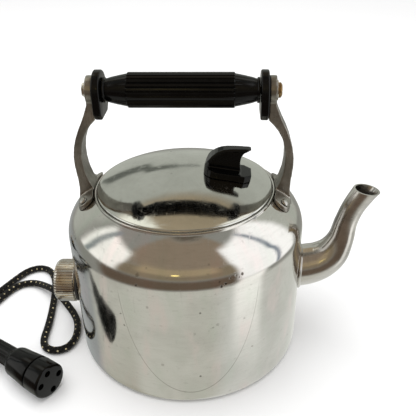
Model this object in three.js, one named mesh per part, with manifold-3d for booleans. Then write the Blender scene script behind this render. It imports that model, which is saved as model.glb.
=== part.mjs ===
// A vintage electric kettle in spun aluminium: a round body with a swan-neck spout, a lift-off
// lid, a bail handle with a fluted grip, an immersed element behind a screwed inlet, and its
// detached flex, which lies on the same surface. Millimetres, +Z up, +X towards the spout.
// The origin is the middle of the flat underside.
import * as THREE from "three";
import { mergeVertices } from "three/addons/utils/BufferGeometryUtils.js";
import Module from "manifold-3d";

const wasm = await Module();
wasm.setup();

// ---- driving dimensions ----------------------------------------------------------------
const GAP = 0.3;                    // left between pieces that touch
const ROUND = 40;                   // facets round the body and the lid

const BODY_RADIUS = 96;
const BODY_WALL = 1.5;
const BASE_CORNER = 6;
const WALL_TOP = 111;               // height where the straight wall ends
const CORNER_RADIUS = 24;           // first bend of the shoulder
const CORNER_TURN = 42;             // degrees that it turns through
const SHOULDER_RADIUS = 75;         // slower bend from there to the neck
const NECK_RADIUS = 72;             // outside of the raised bead round the mouth
const BEAD_TOP = 143.8;
const SEAT_HEIGHT = 141.6;          // ledge that the lid rests on
const MOUTH_RADIUS = 62.5;
const MOUTH_LIP_BOTTOM = 136.5;

const LID_RADIUS = 69.9;
const LID_SKIRT_RADIUS = 61.6;
const LID_SKIRT_BOTTOM = 133.5;
const LID_DOME_RADIUS = 215.7;
const LID_TOP = 156.5;
const LID_WALL = 1.2;

const KNOB_X = 34;                  // the knob stands off-centre, towards the spout
const KNOB_LEAN = 9;                // degrees, square to the dome there
const KNOB_HALF_DEPTH = 11;
const KNOB_WEB = 3.2;               // half thickness of the web between its finger hollows

const GRIP_HEIGHT = 222.9;          // axis of the grip
const GRIP_HALF = 39.3;             // half length of the fluted barrel
const GRIP_RADIUS = 13;
const GRIP_FLUTES = 24;
const GRIP_END_RADIUS = 8.3;
const GRIP_END = 57.6;
const GUARD_X = 58;                 // inner face of each end guard
const GUARD_THICKNESS = 6;
const GUARD_RADIUS = 14.8;
const GUARD_DROP = 19.6;            // from the grip axis to the guard's flat bottom
const ROD_RADIUS = 2.6;
const ROD_HOLE = 3.0;

const BRACKET_HALF_WIDTH = 8.5;
const LUG_RADIUS = 10.8;
const LUG_OUTER = 69.6;
const FOOT_RADIUS = 79;             // from the kettle's axis to the rivets
const FOOT_HALF_WIDTH = 6;
const FOOT_THICKNESS = 3.4;
const RIVET_ANGLE = 14.5;           // degrees each side of the arm
const RIVET_RADIUS = 1.9;

const SPOUT_FLANGE_RADIUS = 20;
const SPOUT_HOLE_RADIUS = 15.5;
const SPOUT_ROOT_HEIGHT = 65.8;
const SPOUT_MOUTH_HEIGHT = 141;
const SPOUT_MOUTH_TILT = 8;         // degrees, down towards the lip

const INLET_HEIGHT = 46;
const INLET_HOLE = 17;
const SHROUD_OUTER = 16.5;
const SHROUD_INNER = 15.3;
const COLLAR_RADIUS = 19;
const COLLAR_RIBS = 44;
const COLLAR_START = 99.3;
const COLLAR_END = 117;
const SHROUD_END = 116.4;
const PIN_RADIUS = 2;
const PIN_CIRCLE = 9.3;

const CORD_RADIUS = 3.15;
const CONNECTOR_RADIUS = 14.6;
const CONNECTOR_FACE = [-104.7, -90, 14.7];
const CONNECTOR_HEADING = -32;      // degrees from +X
const CONNECTOR_SCREW_X = -28;      // behind its face, on the underside
const COIL_CENTRE = [-256, -12];
const COIL_INNER = 26.9;
const COIL_OUTER = 41;
const COIL_BOTTOM = 1.3;
const COIL_TOP = 14.2;
const PLUG_ENTRY = [-287.5, 42, 12];
const PLUG_HEADING = 72;

// The cord's route on the surface, from the back of the connector's sleeve to the coil.
const CORD_ROUTE = [
  [-188.2, -37.8, 14.7], [-191.6, -35.7, 14.6], [-197.2, -30.8, 13.4], [-201.2, -23, 10.6],
  [-202, -13.4, 6.8], [-199, -3, 4], [-192.8, 10, 3.25], [-186.2, 27, 3.25],
  [-180.8, 39, 3.25], [-173.8, 46.2, 3.25], [-165, 48.4, 3.4], [-156.4, 46, 4.4],
  [-148.6, 40.2, 6.6], [-141.6, 34.2, 9.2], [-134.6, 28.4, 10.4], [-126.4, 20.8, 8.9],
  [-117.6, 12.2, 5.4], [-109.4, 2.6, 3.4], [-103.6, -8.4, 3.25], [-100.8, -20.4, 3.25],
  [-100.6, -32, 3.25], [-104.8, -42, 3.25], [-115, -46, 3.25], [-125.2, -42, 3.25],
  [-129.4, -31.6, 3.25], [-129.3, -16, 3.25], [-131.8, 6, 3.25], [-135.2, 27, 3.25],
  [-138.8, 45, 3.25], [-144.4, 60.6, 3.25], [-153, 71.6, 3.25], [-164.8, 74.4, 3.25],
  [-175.4, 67.8, 3.25], [-182, 56, 3.25], [-211.8, -7.3, 3.25],
];
const TAIL_ROUTE = [
  [-293.8, 11.8, 9.4], [-293.4, 20, 7.7], [-292.3, 27.8, 8.6], [-290.4, 34.4, 10.9],
  [-287.95, 41, 11.95],
];

// ---- materials ---------------------------------------------------------------------------
function material(color, roughness, metalness) {
  return new THREE.MeshStandardMaterial({ color, roughness, metalness });
}
const polishedAluminium = material(0xc9c9c4, 0.18, 1);
const castAluminium = material(0x96938c, 0.4, 1);
const bakelite = material(0x0c0c0d, 0.22, 0);
const brass = material(0xb08a4a, 0.35, 1);
const platedBrass = material(0xa59a88, 0.32, 1);
const elementSheath = material(0xa8643c, 0.45, 1);
const rubber = material(0x1a1a1a, 0.7, 0);
const ceramic = material(0xd9d2c0, 0.5, 0);
const springSteel = material(0x8d9095, 0.35, 1);
const braid = material(0x17140f, 0.9, 0);
const tape = material(0xb9a583, 0.85, 0);

// ---- geometry helpers --------------------------------------------------------------------
function polar(radius, degrees) {
  const angle = THREE.MathUtils.degToRad(degrees);
  return [radius * Math.cos(angle), radius * Math.sin(angle)];
}

function arc(cx, cy, radius, from, to, steps) {
  const points = [];
  for (let i = 0; i <= steps; i += 1) {
    const [x, y] = polar(radius, from + ((to - from) * i) / steps);
    points.push([cx + x, cy + y]);
  }
  return points;
}

// A [radius, height] outline turned about +Z; an outline off the axis is closed on itself.
function turned(outline, sides = ROUND) {
  const points = outline.map(([r, h]) => new THREE.Vector2(Math.max(r, 0), h));
  const last = points[points.length - 1];
  if (points[0].x > 0 || last.x > 0) points.push(points[0].clone());
  return new THREE.LatheGeometry(points, sides).rotateX(Math.PI / 2);
}

// The same about an axis along +X, with the outline as [x, radius].
function turnedAlongX(outline, sides = 20) {
  const flipped = outline.map(([x, r]) => new THREE.Vector2(Math.max(r, 0), x));
  const last = flipped[flipped.length - 1];
  if (flipped[0].x > 0 || last.x > 0) flipped.push(flipped[0].clone());
  return new THREE.LatheGeometry(flipped, sides).rotateZ(-Math.PI / 2);
}

function rodAlongX(x0, x1, radius, y = 0, z = 0, sides = 16) {
  const outline = [[x0, 0], [x0, radius], [x1, radius], [x1, 0]];
  return turnedAlongX(outline, sides).translate(0, y, z);
}

function shapeOf(points) {
  return new THREE.Shape(points.map(([x, y]) => new THREE.Vector2(x, y)));
}

// An outline in [x, z], extruded over y from y0 to y1.
function plateAlongY(points, y0, y1) {
  const geometry = new THREE.ExtrudeGeometry(shapeOf(points), { depth: y1 - y0, bevelEnabled: false });
  return geometry.rotateX(Math.PI / 2).translate(0, y1, 0);
}

// An outline in [x, y], extruded over z.
function plateAlongZ(points, z0, z1) {
  const geometry = new THREE.ExtrudeGeometry(shapeOf(points), { depth: z1 - z0, bevelEnabled: false });
  return geometry.translate(0, 0, z0);
}

function smoothOutline(points, steps) {
  const curve = new THREE.SplineCurve(points.map(([x, y]) => new THREE.Vector2(x, y)));
  return curve.getPoints(steps).map((p) => [p.x, p.y]);
}

function circleShape(radius, sides) {
  return shapeOf(arc(0, 0, radius, 0, 360 - 360 / sides, sides - 1));
}

function tubeAlong(curve, radius, sides, steps) {
  const settings = { steps, extrudePath: curve, bevelEnabled: false };
  return new THREE.ExtrudeGeometry(circleShape(radius, sides), settings);
}

function routeCurve(points) {
  return new THREE.CatmullRomCurve3(points.map((p) => new THREE.Vector3(...p)));
}

// ---- solids: closed geometry to and from manifold-3d ------------------------------------------
function solid(source) {
  const geometry = source.index ? source.toNonIndexed() : source.clone();
  for (const name of Object.keys(geometry.attributes)) {
    if (name !== "position") geometry.deleteAttribute(name);
  }
  const merged = mergeVertices(geometry, 1e-4);
  const position = merged.attributes.position;
  const corners = merged.index.array;
  const [a, b, c] = [new THREE.Vector3(), new THREE.Vector3(), new THREE.Vector3()];
  const kept = [];
  let volume = 0;
  for (let i = 0; i < corners.length; i += 3) {
    const [ia, ib, ic] = [corners[i], corners[i + 1], corners[i + 2]];
    if (ia === ib || ib === ic || ic === ia) continue;
    kept.push(ia, ib, ic);
    a.fromBufferAttribute(position, ia);
    b.fromBufferAttribute(position, ib);
    c.fromBufferAttribute(position, ic);
    volume += a.dot(b.cross(c));
  }
  const triVerts = new Uint32Array(kept);
  if (volume < 0) {
    for (let i = 0; i < triVerts.length; i += 3) {
      [triVerts[i + 1], triVerts[i + 2]] = [triVerts[i + 2], triVerts[i + 1]];
    }
  }
  const vertProperties = new Float32Array(position.array);
  return new wasm.Manifold(new wasm.Mesh({ numProp: 3, vertProperties, triVerts }));
}

function joined(geometries) {
  return geometries.map(solid).reduce((whole, piece) => whole.add(piece));
}

function cut(whole, tools) {
  return tools.map(solid).reduce((rest, tool) => rest.subtract(tool), whole);
}

function geometryOf(manifold) {
  const mesh = manifold.getMesh();
  const geometry = new THREE.BufferGeometry();
  geometry.setAttribute("position", new THREE.BufferAttribute(new Float32Array(mesh.vertProperties), 3));
  geometry.setIndex(new THREE.BufferAttribute(new Uint32Array(mesh.triVerts), 1));
  geometry.computeVertexNormals();
  return geometry;
}

const kettle = new THREE.Group();

function addPart(name, shape, finish, parent = kettle) {
  const manifold = shape instanceof THREE.BufferGeometry ? solid(shape) : shape;
  const mesh = new THREE.Mesh(geometryOf(manifold), finish);
  mesh.name = name;
  parent.add(mesh);
  return mesh;
}

// ---- body ----------------------------------------------------------------------------------
const cornerTurn = THREE.MathUtils.degToRad(CORNER_TURN);
const cornerCentre = [BODY_RADIUS - CORNER_RADIUS, WALL_TOP];
const shoulderCentre = [
  cornerCentre[0] + (CORNER_RADIUS - SHOULDER_RADIUS) * Math.cos(cornerTurn),
  cornerCentre[1] + (CORNER_RADIUS - SHOULDER_RADIUS) * Math.sin(cornerTurn),
];

// Degrees round the shoulder's bend at which a surface offset by `offset` has radius r.
function shoulderAngle(r, offset = 0) {
  return THREE.MathUtils.radToDeg(Math.acos((r - shoulderCentre[0]) / (SHOULDER_RADIUS + offset)));
}

// The body's outside from the wall to radius `neck`, moved out by `offset`.
function shoulderOutline(offset, neck, steps = 3) {
  const end = shoulderAngle(neck, offset);
  return [
    ...arc(...cornerCentre, CORNER_RADIUS + offset, 0, CORNER_TURN, steps + 1),
    ...arc(...shoulderCentre, SHOULDER_RADIUS + offset, CORNER_TURN, end, steps).slice(1),
  ];
}

function bodyShell() {
  const seatUnder = SEAT_HEIGHT - BODY_WALL;
  const innerNeck = NECK_RADIUS - 0.6;
  const innerBase = BODY_RADIUS - BASE_CORNER;
  const outside = [
    [0, 0],
    ...arc(innerBase, BASE_CORNER, BASE_CORNER, -90, 0, 3),
    ...shoulderOutline(0, NECK_RADIUS),
    [NECK_RADIUS, BEAD_TOP - 0.5],
    [NECK_RADIUS - 0.5, BEAD_TOP],
    [NECK_RADIUS - 1.1, BEAD_TOP],
    [NECK_RADIUS - 1.5, BEAD_TOP - 0.4],
    [NECK_RADIUS - 1.5, SEAT_HEIGHT],
    [MOUTH_RADIUS + 0.8, SEAT_HEIGHT],
    [MOUTH_RADIUS, SEAT_HEIGHT - 0.8],
  ];
  const inside = [
    [0, BODY_WALL],
    ...arc(innerBase, BASE_CORNER, BASE_CORNER - BODY_WALL, -90, 0, 3),
    ...shoulderOutline(-BODY_WALL, innerNeck),
    [MOUTH_RADIUS + BODY_WALL, seatUnder],
    [MOUTH_RADIUS + BODY_WALL, MOUTH_LIP_BOTTOM],
    [MOUTH_RADIUS, MOUTH_LIP_BOTTOM],
  ];
  const shell = solid(turned([...outside, ...inside.reverse()]));
  const rivetHoles = rivetSites.map((site) => atRivet(rodAlongX(-5, 8, RIVET_RADIUS + 0.25), site));
  return cut(shell, [
    rodAlongX(85, 100, SPOUT_HOLE_RADIUS, 0, SPOUT_ROOT_HEIGHT, 24),
    rodAlongX(-100, -85, INLET_HOLE, 0, INLET_HEIGHT, 24),
    ...rivetHoles,
  ]);
}

// ---- handle ----------------------------------------------------------------------------------
const rivetSites = [
  { name: "right_front", angle: -RIVET_ANGLE },
  { name: "right_back", angle: RIVET_ANGLE },
  { name: "left_back", angle: 180 - RIVET_ANGLE },
  { name: "left_front", angle: 180 + RIVET_ANGLE },
];

// Moves a piece made along +X, with x = 0 on the shoulder's outside, square to the shoulder.
function atRivet(geometry, site) {
  const tilt = THREE.MathUtils.degToRad(shoulderAngle(FOOT_RADIUS));
  const height = shoulderCentre[1] + SHOULDER_RADIUS * Math.sin(tilt);
  return geometry
    .rotateY(-tilt)
    .translate(FOOT_RADIUS, 0, height)
    .rotateZ(THREE.MathUtils.degToRad(site.angle));
}

function rivet(site) {
  const headTop = FOOT_THICKNESS + GAP + 0.2;
  const headBottom = -BODY_WALL - GAP;
  const outline = [
    [headBottom - 1.6, 0], [headBottom - 1.6, 2.6], [headBottom, 3.2], [headBottom, RIVET_RADIUS],
    [headTop, RIVET_RADIUS], [headTop, 3.4], [headTop + 1, 3], [headTop + 1.7, 1.6], [headTop + 1.9, 0],
  ];
  return atRivet(turnedAlongX(outline, 12), site);
}

// One cast bracket, on the spout's side; the other is its mirror image.
function bracket(side) {
  const outerEdge = [
    [69.8, 214], [73.9, 203.5], [78.6, 194], [82.6, 183.5], [84.6, 173],
    [84.7, 162.5], [83.6, 152], [83.6, 142], [86, 130],
  ];
  const innerEdge = [
    [68.5, 130], [70.2, 141], [74.4, 149.5], [77.4, 159.5], [78.3, 170.5], [77.4, 181],
    [74.2, 190], [69.6, 197], [64.4, 202.5],
  ];
  const lugInner = GUARD_X + GUARD_THICKNESS + GAP;
  const arm = plateAlongY([
    [LUG_OUTER, GRIP_HEIGHT],
    ...smoothOutline(outerEdge, 12),
    ...smoothOutline(innerEdge, 11),
    [lugInner, 204], [lugInner, GRIP_HEIGHT],
  ], -BRACKET_HALF_WIDTH, BRACKET_HALF_WIDTH);
  const lug = rodAlongX(lugInner, LUG_OUTER, LUG_RADIUS, 0, GRIP_HEIGHT, 20);
  const foot = solid(turned([
    ...shoulderOutline(GAP, FOOT_RADIUS - FOOT_HALF_WIDTH - 2),
    ...shoulderOutline(GAP + FOOT_THICKNESS, FOOT_RADIUS - FOOT_HALF_WIDTH - 2).reverse(),
  ])).intersect(solid(plateAlongZ(footOutline(), 100, 160)));
  const bodyShape = solid(turned([
    [0, 100], [BODY_RADIUS + GAP, 100], ...shoulderOutline(GAP, NECK_RADIUS + 0.6),
    [NECK_RADIUS + 0.4, BEAD_TOP + GAP], [0, BEAD_TOP + GAP],
  ]));
  const rod = rodAlongX(60, 75, ROD_HOLE, 0, GRIP_HEIGHT, 16);
  const holes = rivetSites.slice(0, 2).map((site) => atRivet(rodAlongX(-2, 8, RIVET_RADIUS + 0.25), site));
  const casting = cut(joined([arm, lug]).subtract(bodyShape).add(foot), [rod, ...holes]);
  const geometry = geometryOf(casting);
  return side > 0 ? geometry : geometry.scale(-1, 1, 1);
}

// The foot seen from above: a band round the neck with round ends.
function footOutline() {
  const inner = FOOT_RADIUS - FOOT_HALF_WIDTH;
  const outer = FOOT_RADIUS + FOOT_HALF_WIDTH;
  const end = THREE.MathUtils.degToRad(RIVET_ANGLE);
  const [ex, ey] = [FOOT_RADIUS * Math.cos(end), FOOT_RADIUS * Math.sin(end)];
  return [
    ...arc(0, 0, outer, -RIVET_ANGLE, RIVET_ANGLE, 8),
    ...arc(ex, ey, FOOT_HALF_WIDTH, RIVET_ANGLE, RIVET_ANGLE + 180, 8).slice(1, -1),
    ...arc(0, 0, inner, RIVET_ANGLE, -RIVET_ANGLE, 8),
    ...arc(ex, -ey, FOOT_HALF_WIDTH, 180 - RIVET_ANGLE, 360 - RIVET_ANGLE, 8).slice(1, -1),
  ];
}

function guard(side) {
  const bevel = 0.8;
  const edge = GUARD_RADIUS - bevel;
  const bottom = -GUARD_DROP + bevel;
  const outline = [
    ...arc(0, 0, edge, 0, 180, 12), [-edge, bottom + 5], [5 - edge, bottom],
    [edge - 5, bottom], [edge, bottom + 5],
  ];
  const settings = {
    depth: GUARD_THICKNESS - 2 * bevel, bevelThickness: bevel, bevelSize: bevel, bevelSegments: 1,
  };
  const plate = new THREE.ExtrudeGeometry(shapeOf(outline), settings)
    .rotateX(Math.PI / 2)
    .rotateZ(Math.PI / 2)
    .translate(GUARD_X + bevel, 0, GRIP_HEIGHT);
  const geometry = geometryOf(cut(solid(plate), [rodAlongX(50, 70, ROD_HOLE, 0, GRIP_HEIGHT, 16)]));
  return side > 0 ? geometry : geometry.scale(-1, 1, 1);
}

function grip() {
  const flute = [];
  for (let i = 0; i < GRIP_FLUTES; i += 1) {
    const start = (360 * i) / GRIP_FLUTES;
    const pitch = 360 / GRIP_FLUTES;
    for (const [turn, radius] of [[0.14, 12.2], [0.32, GRIP_RADIUS], [0.82, GRIP_RADIUS], [1, 12.2]]) {
      flute.push(polar(radius, start + turn * pitch));
    }
  }
  const barrel = new THREE.ExtrudeGeometry(shapeOf(flute), { depth: 2 * GRIP_HALF, bevelEnabled: false })
    .translate(0, 0, -GRIP_HALF)
    .rotateY(Math.PI / 2)
    .translate(0, 0, GRIP_HEIGHT);
  const core = turnedAlongX([
    [-GRIP_END, 0], [-GRIP_END, 9.4], [-GRIP_END + 1.8, 9.4], [-GRIP_END + 2.2, GRIP_END_RADIUS],
    [-GRIP_HALF - 0.4, 12.3], [GRIP_HALF + 0.4, 12.3], [GRIP_END - 2.2, GRIP_END_RADIUS],
    [GRIP_END - 1.8, 9.4], [GRIP_END, 9.4], [GRIP_END, 0],
  ], 24).translate(0, 0, GRIP_HEIGHT);
  return cut(joined([barrel, core]), [rodAlongX(-60, 60, ROD_HOLE, 0, GRIP_HEIGHT, 16)]);
}

// The long brass screw through guard, grip and guard, its slotted head on the spout's side.
function tieRod() {
  const headStart = LUG_OUTER + 1.4;
  const rod = turnedAlongX([
    [-73.4, 0], [-73.4, ROD_RADIUS], [headStart, ROD_RADIUS], [headStart, 5.6], [headStart + 1.6, 5.6],
    [headStart + 2.6, 4.2], [headStart + 2.8, 0],
  ], 20).translate(0, 0, GRIP_HEIGHT);
  const slot = new THREE.BoxGeometry(2, 14, 1.3).translate(headStart + 2.8, 0, GRIP_HEIGHT);
  return cut(solid(rod), [slot]);
}

function handleNut() {
  const face = -LUG_OUTER - 1.4;
  return turnedAlongX([
    [face, ROD_HOLE], [face, 5.4], [face - 1.6, 5.4], [face - 2.1, 4.8], [face - 2.1, ROD_HOLE],
  ], 6).translate(0, 0, GRIP_HEIGHT);
}

function handleWasher(side) {
  const [x0, x1] = [LUG_OUTER + 0.2, LUG_OUTER + 1.1];
  return turnedAlongX([
    [side * x0, ROD_HOLE], [side * x0, 7.4], [side * x1, 7.4], [side * x1, ROD_HOLE],
  ], 20).translate(0, 0, GRIP_HEIGHT);
}

// ---- spout -----------------------------------------------------------------------------------
// The swan neck's centre line in [x, z], and its outside radius at each of those points.
const SPOUT_LINE = [
  [92.5, 65.2], [104.5, 67.4], [115.3, 71.9], [124, 80.4], [129.6, 94], [132.2, 110], [136.6, 124.5],
  [143.6, 138], [149, 147],
];
const SPOUT_RADII = [18.2, 17.5, 16.2, 14.1, 11, 9.4, 9.1, 9.6, 10.4];
const SPOUT_WALL = 1.4;

// Bends a tube that was made straight along +Z, 0 to 1 high, onto the swan neck.
function bentTube(radiusAt, sides, steps) {
  const line = new THREE.CatmullRomCurve3(SPOUT_LINE.map(([x, z]) => new THREE.Vector3(x, 0, z)));
  const outside = [];
  const inside = [];
  for (let i = 0; i <= steps; i += 1) {
    outside.push([radiusAt(i / steps), i / steps]);
    inside.push([radiusAt(i / steps) - SPOUT_WALL, i / steps]);
  }
  const tube = turned([...outside, ...inside.reverse()], sides);
  const position = tube.attributes.position;
  for (let i = 0; i < position.count; i += 1) {
    const along = THREE.MathUtils.clamp(position.getZ(i), 0, 1);
    const centre = line.getPointAt(along);
    const ahead = line.getTangentAt(along);
    const x = centre.x + position.getX(i) * ahead.z;
    const z = centre.z - position.getX(i) * ahead.x;
    position.setXYZ(i, x, position.getY(i), z);
  }
  return tube;
}

function spoutRadius(along) {
  const curve = new THREE.SplineCurve(SPOUT_RADII.map((r, i) => new THREE.Vector2(i, r)));
  return curve.getPoint(along).y;
}

function spout() {
  const tube = solid(bentTube(spoutRadius, 18, 12));
  const wallSide = solid(turned([[0, 0], [BODY_RADIUS + GAP, 0], [BODY_RADIUS + GAP, 150], [0, 150]]));
  const mouthCut = new THREE.BoxGeometry(80, 60, 40)
    .translate(0, 0, 20)
    .rotateY(THREE.MathUtils.degToRad(SPOUT_MOUTH_TILT))
    .translate(143, 0, SPOUT_MOUTH_HEIGHT);
  const flangeOuter = BODY_RADIUS + GAP + 1.3;
  const flange = solid(turned([
    [BODY_RADIUS + GAP, 40], [flangeOuter, 40], [flangeOuter, 92], [BODY_RADIUS + GAP, 92],
  ])).intersect(solid(rodAlongX(80, 110, SPOUT_FLANGE_RADIUS, 0, SPOUT_ROOT_HEIGHT, 28)));
  const spigot = rodAlongX(91, 100, SPOUT_HOLE_RADIUS - 0.5, 0, SPOUT_ROOT_HEIGHT, 24);
  const bore = rodAlongX(85, 101, SPOUT_HOLE_RADIUS - 0.5 - SPOUT_WALL, 0, SPOUT_ROOT_HEIGHT, 24);
  return cut(tube.subtract(wallSide).add(flange).add(solid(spigot)), [mouthCut, bore]);
}

// ---- lid ---------------------------------------------------------------------------------------
const domeCentre = LID_TOP - LID_DOME_RADIUS;

function domeHeight(r, offset = 0) {
  return domeCentre + Math.sqrt((LID_DOME_RADIUS + offset) ** 2 - r ** 2);
}

function domeOutline(offset, r0, r1, steps) {
  const points = [];
  for (let i = 0; i <= steps; i += 1) {
    const r = r0 + ((r1 - r0) * i) / steps;
    points.push([r, domeHeight(r, offset)]);
  }
  return points;
}

// Moves a piece made about the knob's own origin onto the dome, square to it.
function onDome(geometry) {
  return geometry
    .rotateY(THREE.MathUtils.degToRad(KNOB_LEAN))
    .translate(KNOB_X, 0, domeHeight(KNOB_X));
}

function lidShell() {
  const rimUnder = SEAT_HEIGHT + 0.4;
  const skirtInner = LID_SKIRT_RADIUS - LID_WALL;
  const shell = solid(turned([
    ...domeOutline(0, 0, LID_RADIUS - 2, 5),
    [LID_RADIUS - 0.7, 145.3], [LID_RADIUS, 144.5], [LID_RADIUS, 142.8], [LID_RADIUS - 0.7, rimUnder],
    [LID_SKIRT_RADIUS, rimUnder], [LID_SKIRT_RADIUS, LID_SKIRT_BOTTOM], [skirtInner, LID_SKIRT_BOTTOM],
    ...domeOutline(-LID_WALL, skirtInner, 0, 4),
  ]));
  return cut(shell, [onDome(rodAlongX(-10, 10, 2.2).rotateY(Math.PI / 2))]);
}

// A crest that curls towards the spout, hollowed on both sides for thumb and finger, on a plate.
function lidKnob() {
  const crest = [
    [-18.6, 0.2], [-19, 6.5], [-16.8, 13], [-12.6, 18.2], [-6.9, 21.9], [2.3, 23.9], [13, 25.1],
  ];
  const underBeak = [[15, 24.9], [12.6, 23.3], [10.2, 21.2], [8.4, 17.6], [8.2, 12.6], [9.4, 6.6], [10.4, 3]];
  const profile = [...smoothOutline(crest, 12), ...smoothOutline(underBeak, 8), [10.4, 0.2]];
  const hollow = smoothOutline([
    [-15.8, 5.6], [-15.6, 9], [-13.2, 13.6], [-9.6, 17.4], [-4.6, 20], [3, 21.5], [20, 22.6],
  ], 10);
  const wedge = plateAlongZ([[-KNOB_HALF_DEPTH, 0], [KNOB_HALF_DEPTH, 0], [3.4, 25.4], [-3.4, 25.4]], -30, 30)
    .rotateX(Math.PI / 2)
    .rotateZ(Math.PI / 2);
  const fin = cut(solid(plateAlongY(profile, -12, 12)).intersect(solid(wedge)), [
    plateAlongY([...hollow, [20, 5.6]], -14, -KNOB_WEB),
    plateAlongY([...hollow, [20, 5.6]], KNOB_WEB, 14),
  ]);
  const reach = KNOB_HALF_DEPTH;
  const plate = plateAlongZ([
    ...arc(-19 + reach, 0, reach, 90, 270, 12),
    [13, -reach], [18.4, 4 - reach], [18.4, reach - 4], [13, reach],
  ], -6, 5);
  const planRound = plateAlongZ([
    ...arc(-19 + reach, 0, reach, 90, 270, 12), [20, -reach], [20, reach],
  ], -7, 30);
  const dome = turned([
    ...domeOutline(GAP, 0, LID_RADIUS, 5), [LID_RADIUS, 120], [0, 120],
  ]);
  const pilot = onDome(rodAlongX(-9, 8, 2).rotateY(-Math.PI / 2));
  const body = fin.intersect(solid(planRound)).add(solid(plate));
  return cut(solid(onDome(geometryOf(body))), [dome, pilot]);
}

function lidKnobScrew() {
  const under = -LID_WALL - 1.3;
  const outline = [
    [0, 7.5], [1.6, 7.5], [1.6, under], [3.6, under], [3.4, under - 1.2], [2.4, under - 2], [0, under - 2.2],
  ];
  const slot = new THREE.BoxGeometry(9, 0.9, 1.6).translate(0, 0, under - 2.2);
  return solid(onDome(geometryOf(cut(solid(turned(outline, 16)), [slot]))));
}

function lidKnobWasher() {
  const top = -LID_WALL - 0.25;
  return onDome(turned([[2.2, top], [5.2, top], [5.2, top - 0.75], [2.2, top - 0.75]], 20));
}

// ---- element, inlet and ejector --------------------------------------------------------------
const inletPins = [
  { name: "earth", angle: 96 },
  { name: "live", angle: 8 },
  { name: "neutral", angle: 166 },
];
const EJECTOR_ANGLE = -82;

function onPinCircle(angle) {
  return polar(PIN_CIRCLE, angle);
}

// The casting whose flange seals inside the wall and whose tube passes out to the collar.
function elementHead() {
  const ring = turnedAlongX([
    [-87.4, 0], [-87.4, 20.5], [-90.4, 20.5], [-90.4, SHROUD_OUTER], [-SHROUD_END, SHROUD_OUTER],
    [-SHROUD_END, SHROUD_INNER], [-90.4, SHROUD_INNER], [-90.4, 0],
  ], 28);
  return ring.translate(0, 0, INLET_HEIGHT);
}

function elementTube() {
  const loop = arc(2, 0, 60, 205, 515, 14).map(([x, y]) => [x, y, 20]);
  const leg = (side) => [
    [-87, side * 8, 42], [-81, side * 8, 41.6], [-74, side * 10.5, 36], [-66, side * 16, 25.6],
  ];
  const path = routeCurve([...leg(-1), ...loop, ...leg(1).reverse()]);
  return tubeAlong(path, 3.6, 6, 44);
}

function ringAlongX(x0, x1, inner, outer, sides = 24) {
  return turnedAlongX([[x0, inner], [x0, outer], [x1, outer], [x1, inner]], sides)
    .translate(0, 0, INLET_HEIGHT);
}

// The plated ring nut that clamps the head, fluted all round for the fingers.
function inletCollar() {
  const ribs = [];
  for (let i = 0; i < COLLAR_RIBS; i += 1) {
    const start = (360 * i) / COLLAR_RIBS;
    const pitch = 360 / COLLAR_RIBS;
    ribs.push(polar(COLLAR_RADIUS, start + 0.18 * pitch));
    ribs.push(polar(COLLAR_RADIUS, start + 0.72 * pitch));
    ribs.push(polar(COLLAR_RADIUS - 0.6, start + 0.95 * pitch));
  }
  const shape = shapeOf(ribs);
  const hole = arc(0, 0, SHROUD_OUTER + GAP, 360, 15, 23);
  shape.holes.push(new THREE.Path(hole.map((point) => new THREE.Vector2(...point))));
  const ring = new THREE.ExtrudeGeometry(shape, { depth: COLLAR_END - COLLAR_START, bevelEnabled: false })
    .rotateY(-Math.PI / 2)
    .translate(-COLLAR_START, 0, INLET_HEIGHT);
  const chamfer = turnedAlongX([
    [-COLLAR_END - 1, 16], [-COLLAR_END - 1, COLLAR_RADIUS + 1], [-COLLAR_END + 3.4, COLLAR_RADIUS + 1],
  ], 44).translate(0, 0, INLET_HEIGHT);
  return cut(solid(ring), [chamfer]);
}

function inletInsulator() {
  const disc = rodAlongX(-107, -102, SHROUD_INNER - GAP, 0, INLET_HEIGHT, 28);
  const pinHoles = inletPins.map(({ angle }) => {
    const [y, z] = onPinCircle(angle);
    return rodAlongX(-110, -100, PIN_RADIUS + GAP, y, INLET_HEIGHT + z);
  });
  const [y, z] = onPinCircle(EJECTOR_ANGLE);
  return cut(solid(disc), [...pinHoles, rodAlongX(-110, -100, 2.1, y, INLET_HEIGHT + z)]);
}

function inletPin({ angle }) {
  const [y, z] = onPinCircle(angle);
  return turnedAlongX([
    [-113.6, 0], [-113.6, 1.2], [-112.6, PIN_RADIUS], [-92, PIN_RADIUS], [-92, 0],
  ], 12).translate(0, y, INLET_HEIGHT + z);
}

// The pin that the boil-dry cut-out pushes out against the connector, with its spring collar.
function ejectorPin() {
  const [y, z] = onPinCircle(EJECTOR_ANGLE);
  return turnedAlongX([
    [-112, 0], [-112, 1.2], [-111.4, 1.7], [-96, 1.7], [-96, 3.6],
    [-95, 3.6], [-95, 1.7], [-92, 1.7], [-92, 0],
  ], 12).translate(0, y, INLET_HEIGHT + z);
}

function ejectorSpring() {
  const [y, z] = onPinCircle(EJECTOR_ANGLE);
  const turns = 2;
  const points = [];
  for (let i = 0; i <= 10 * turns; i += 1) {
    const [cy, cz] = polar(2.7, 36 * i);
    points.push([-91.3 - (2.9 * i) / (10 * turns), y + cy, INLET_HEIGHT + z + cz]);
  }
  return tubeAlong(routeCurve(points), 0.45, 6, 36);
}

// ---- flex: connector, cord, coil and plug ------------------------------------------------------
// Moves a piece made along +X, with its front face at x = 0, to where the connector lies.
function asConnector(geometry) {
  return geometry.rotateZ(THREE.MathUtils.degToRad(CONNECTOR_HEADING)).translate(...CONNECTOR_FACE);
}

const connectorHoles = [...inletPins, { name: "ejector", angle: EJECTOR_ANGLE }];

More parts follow.
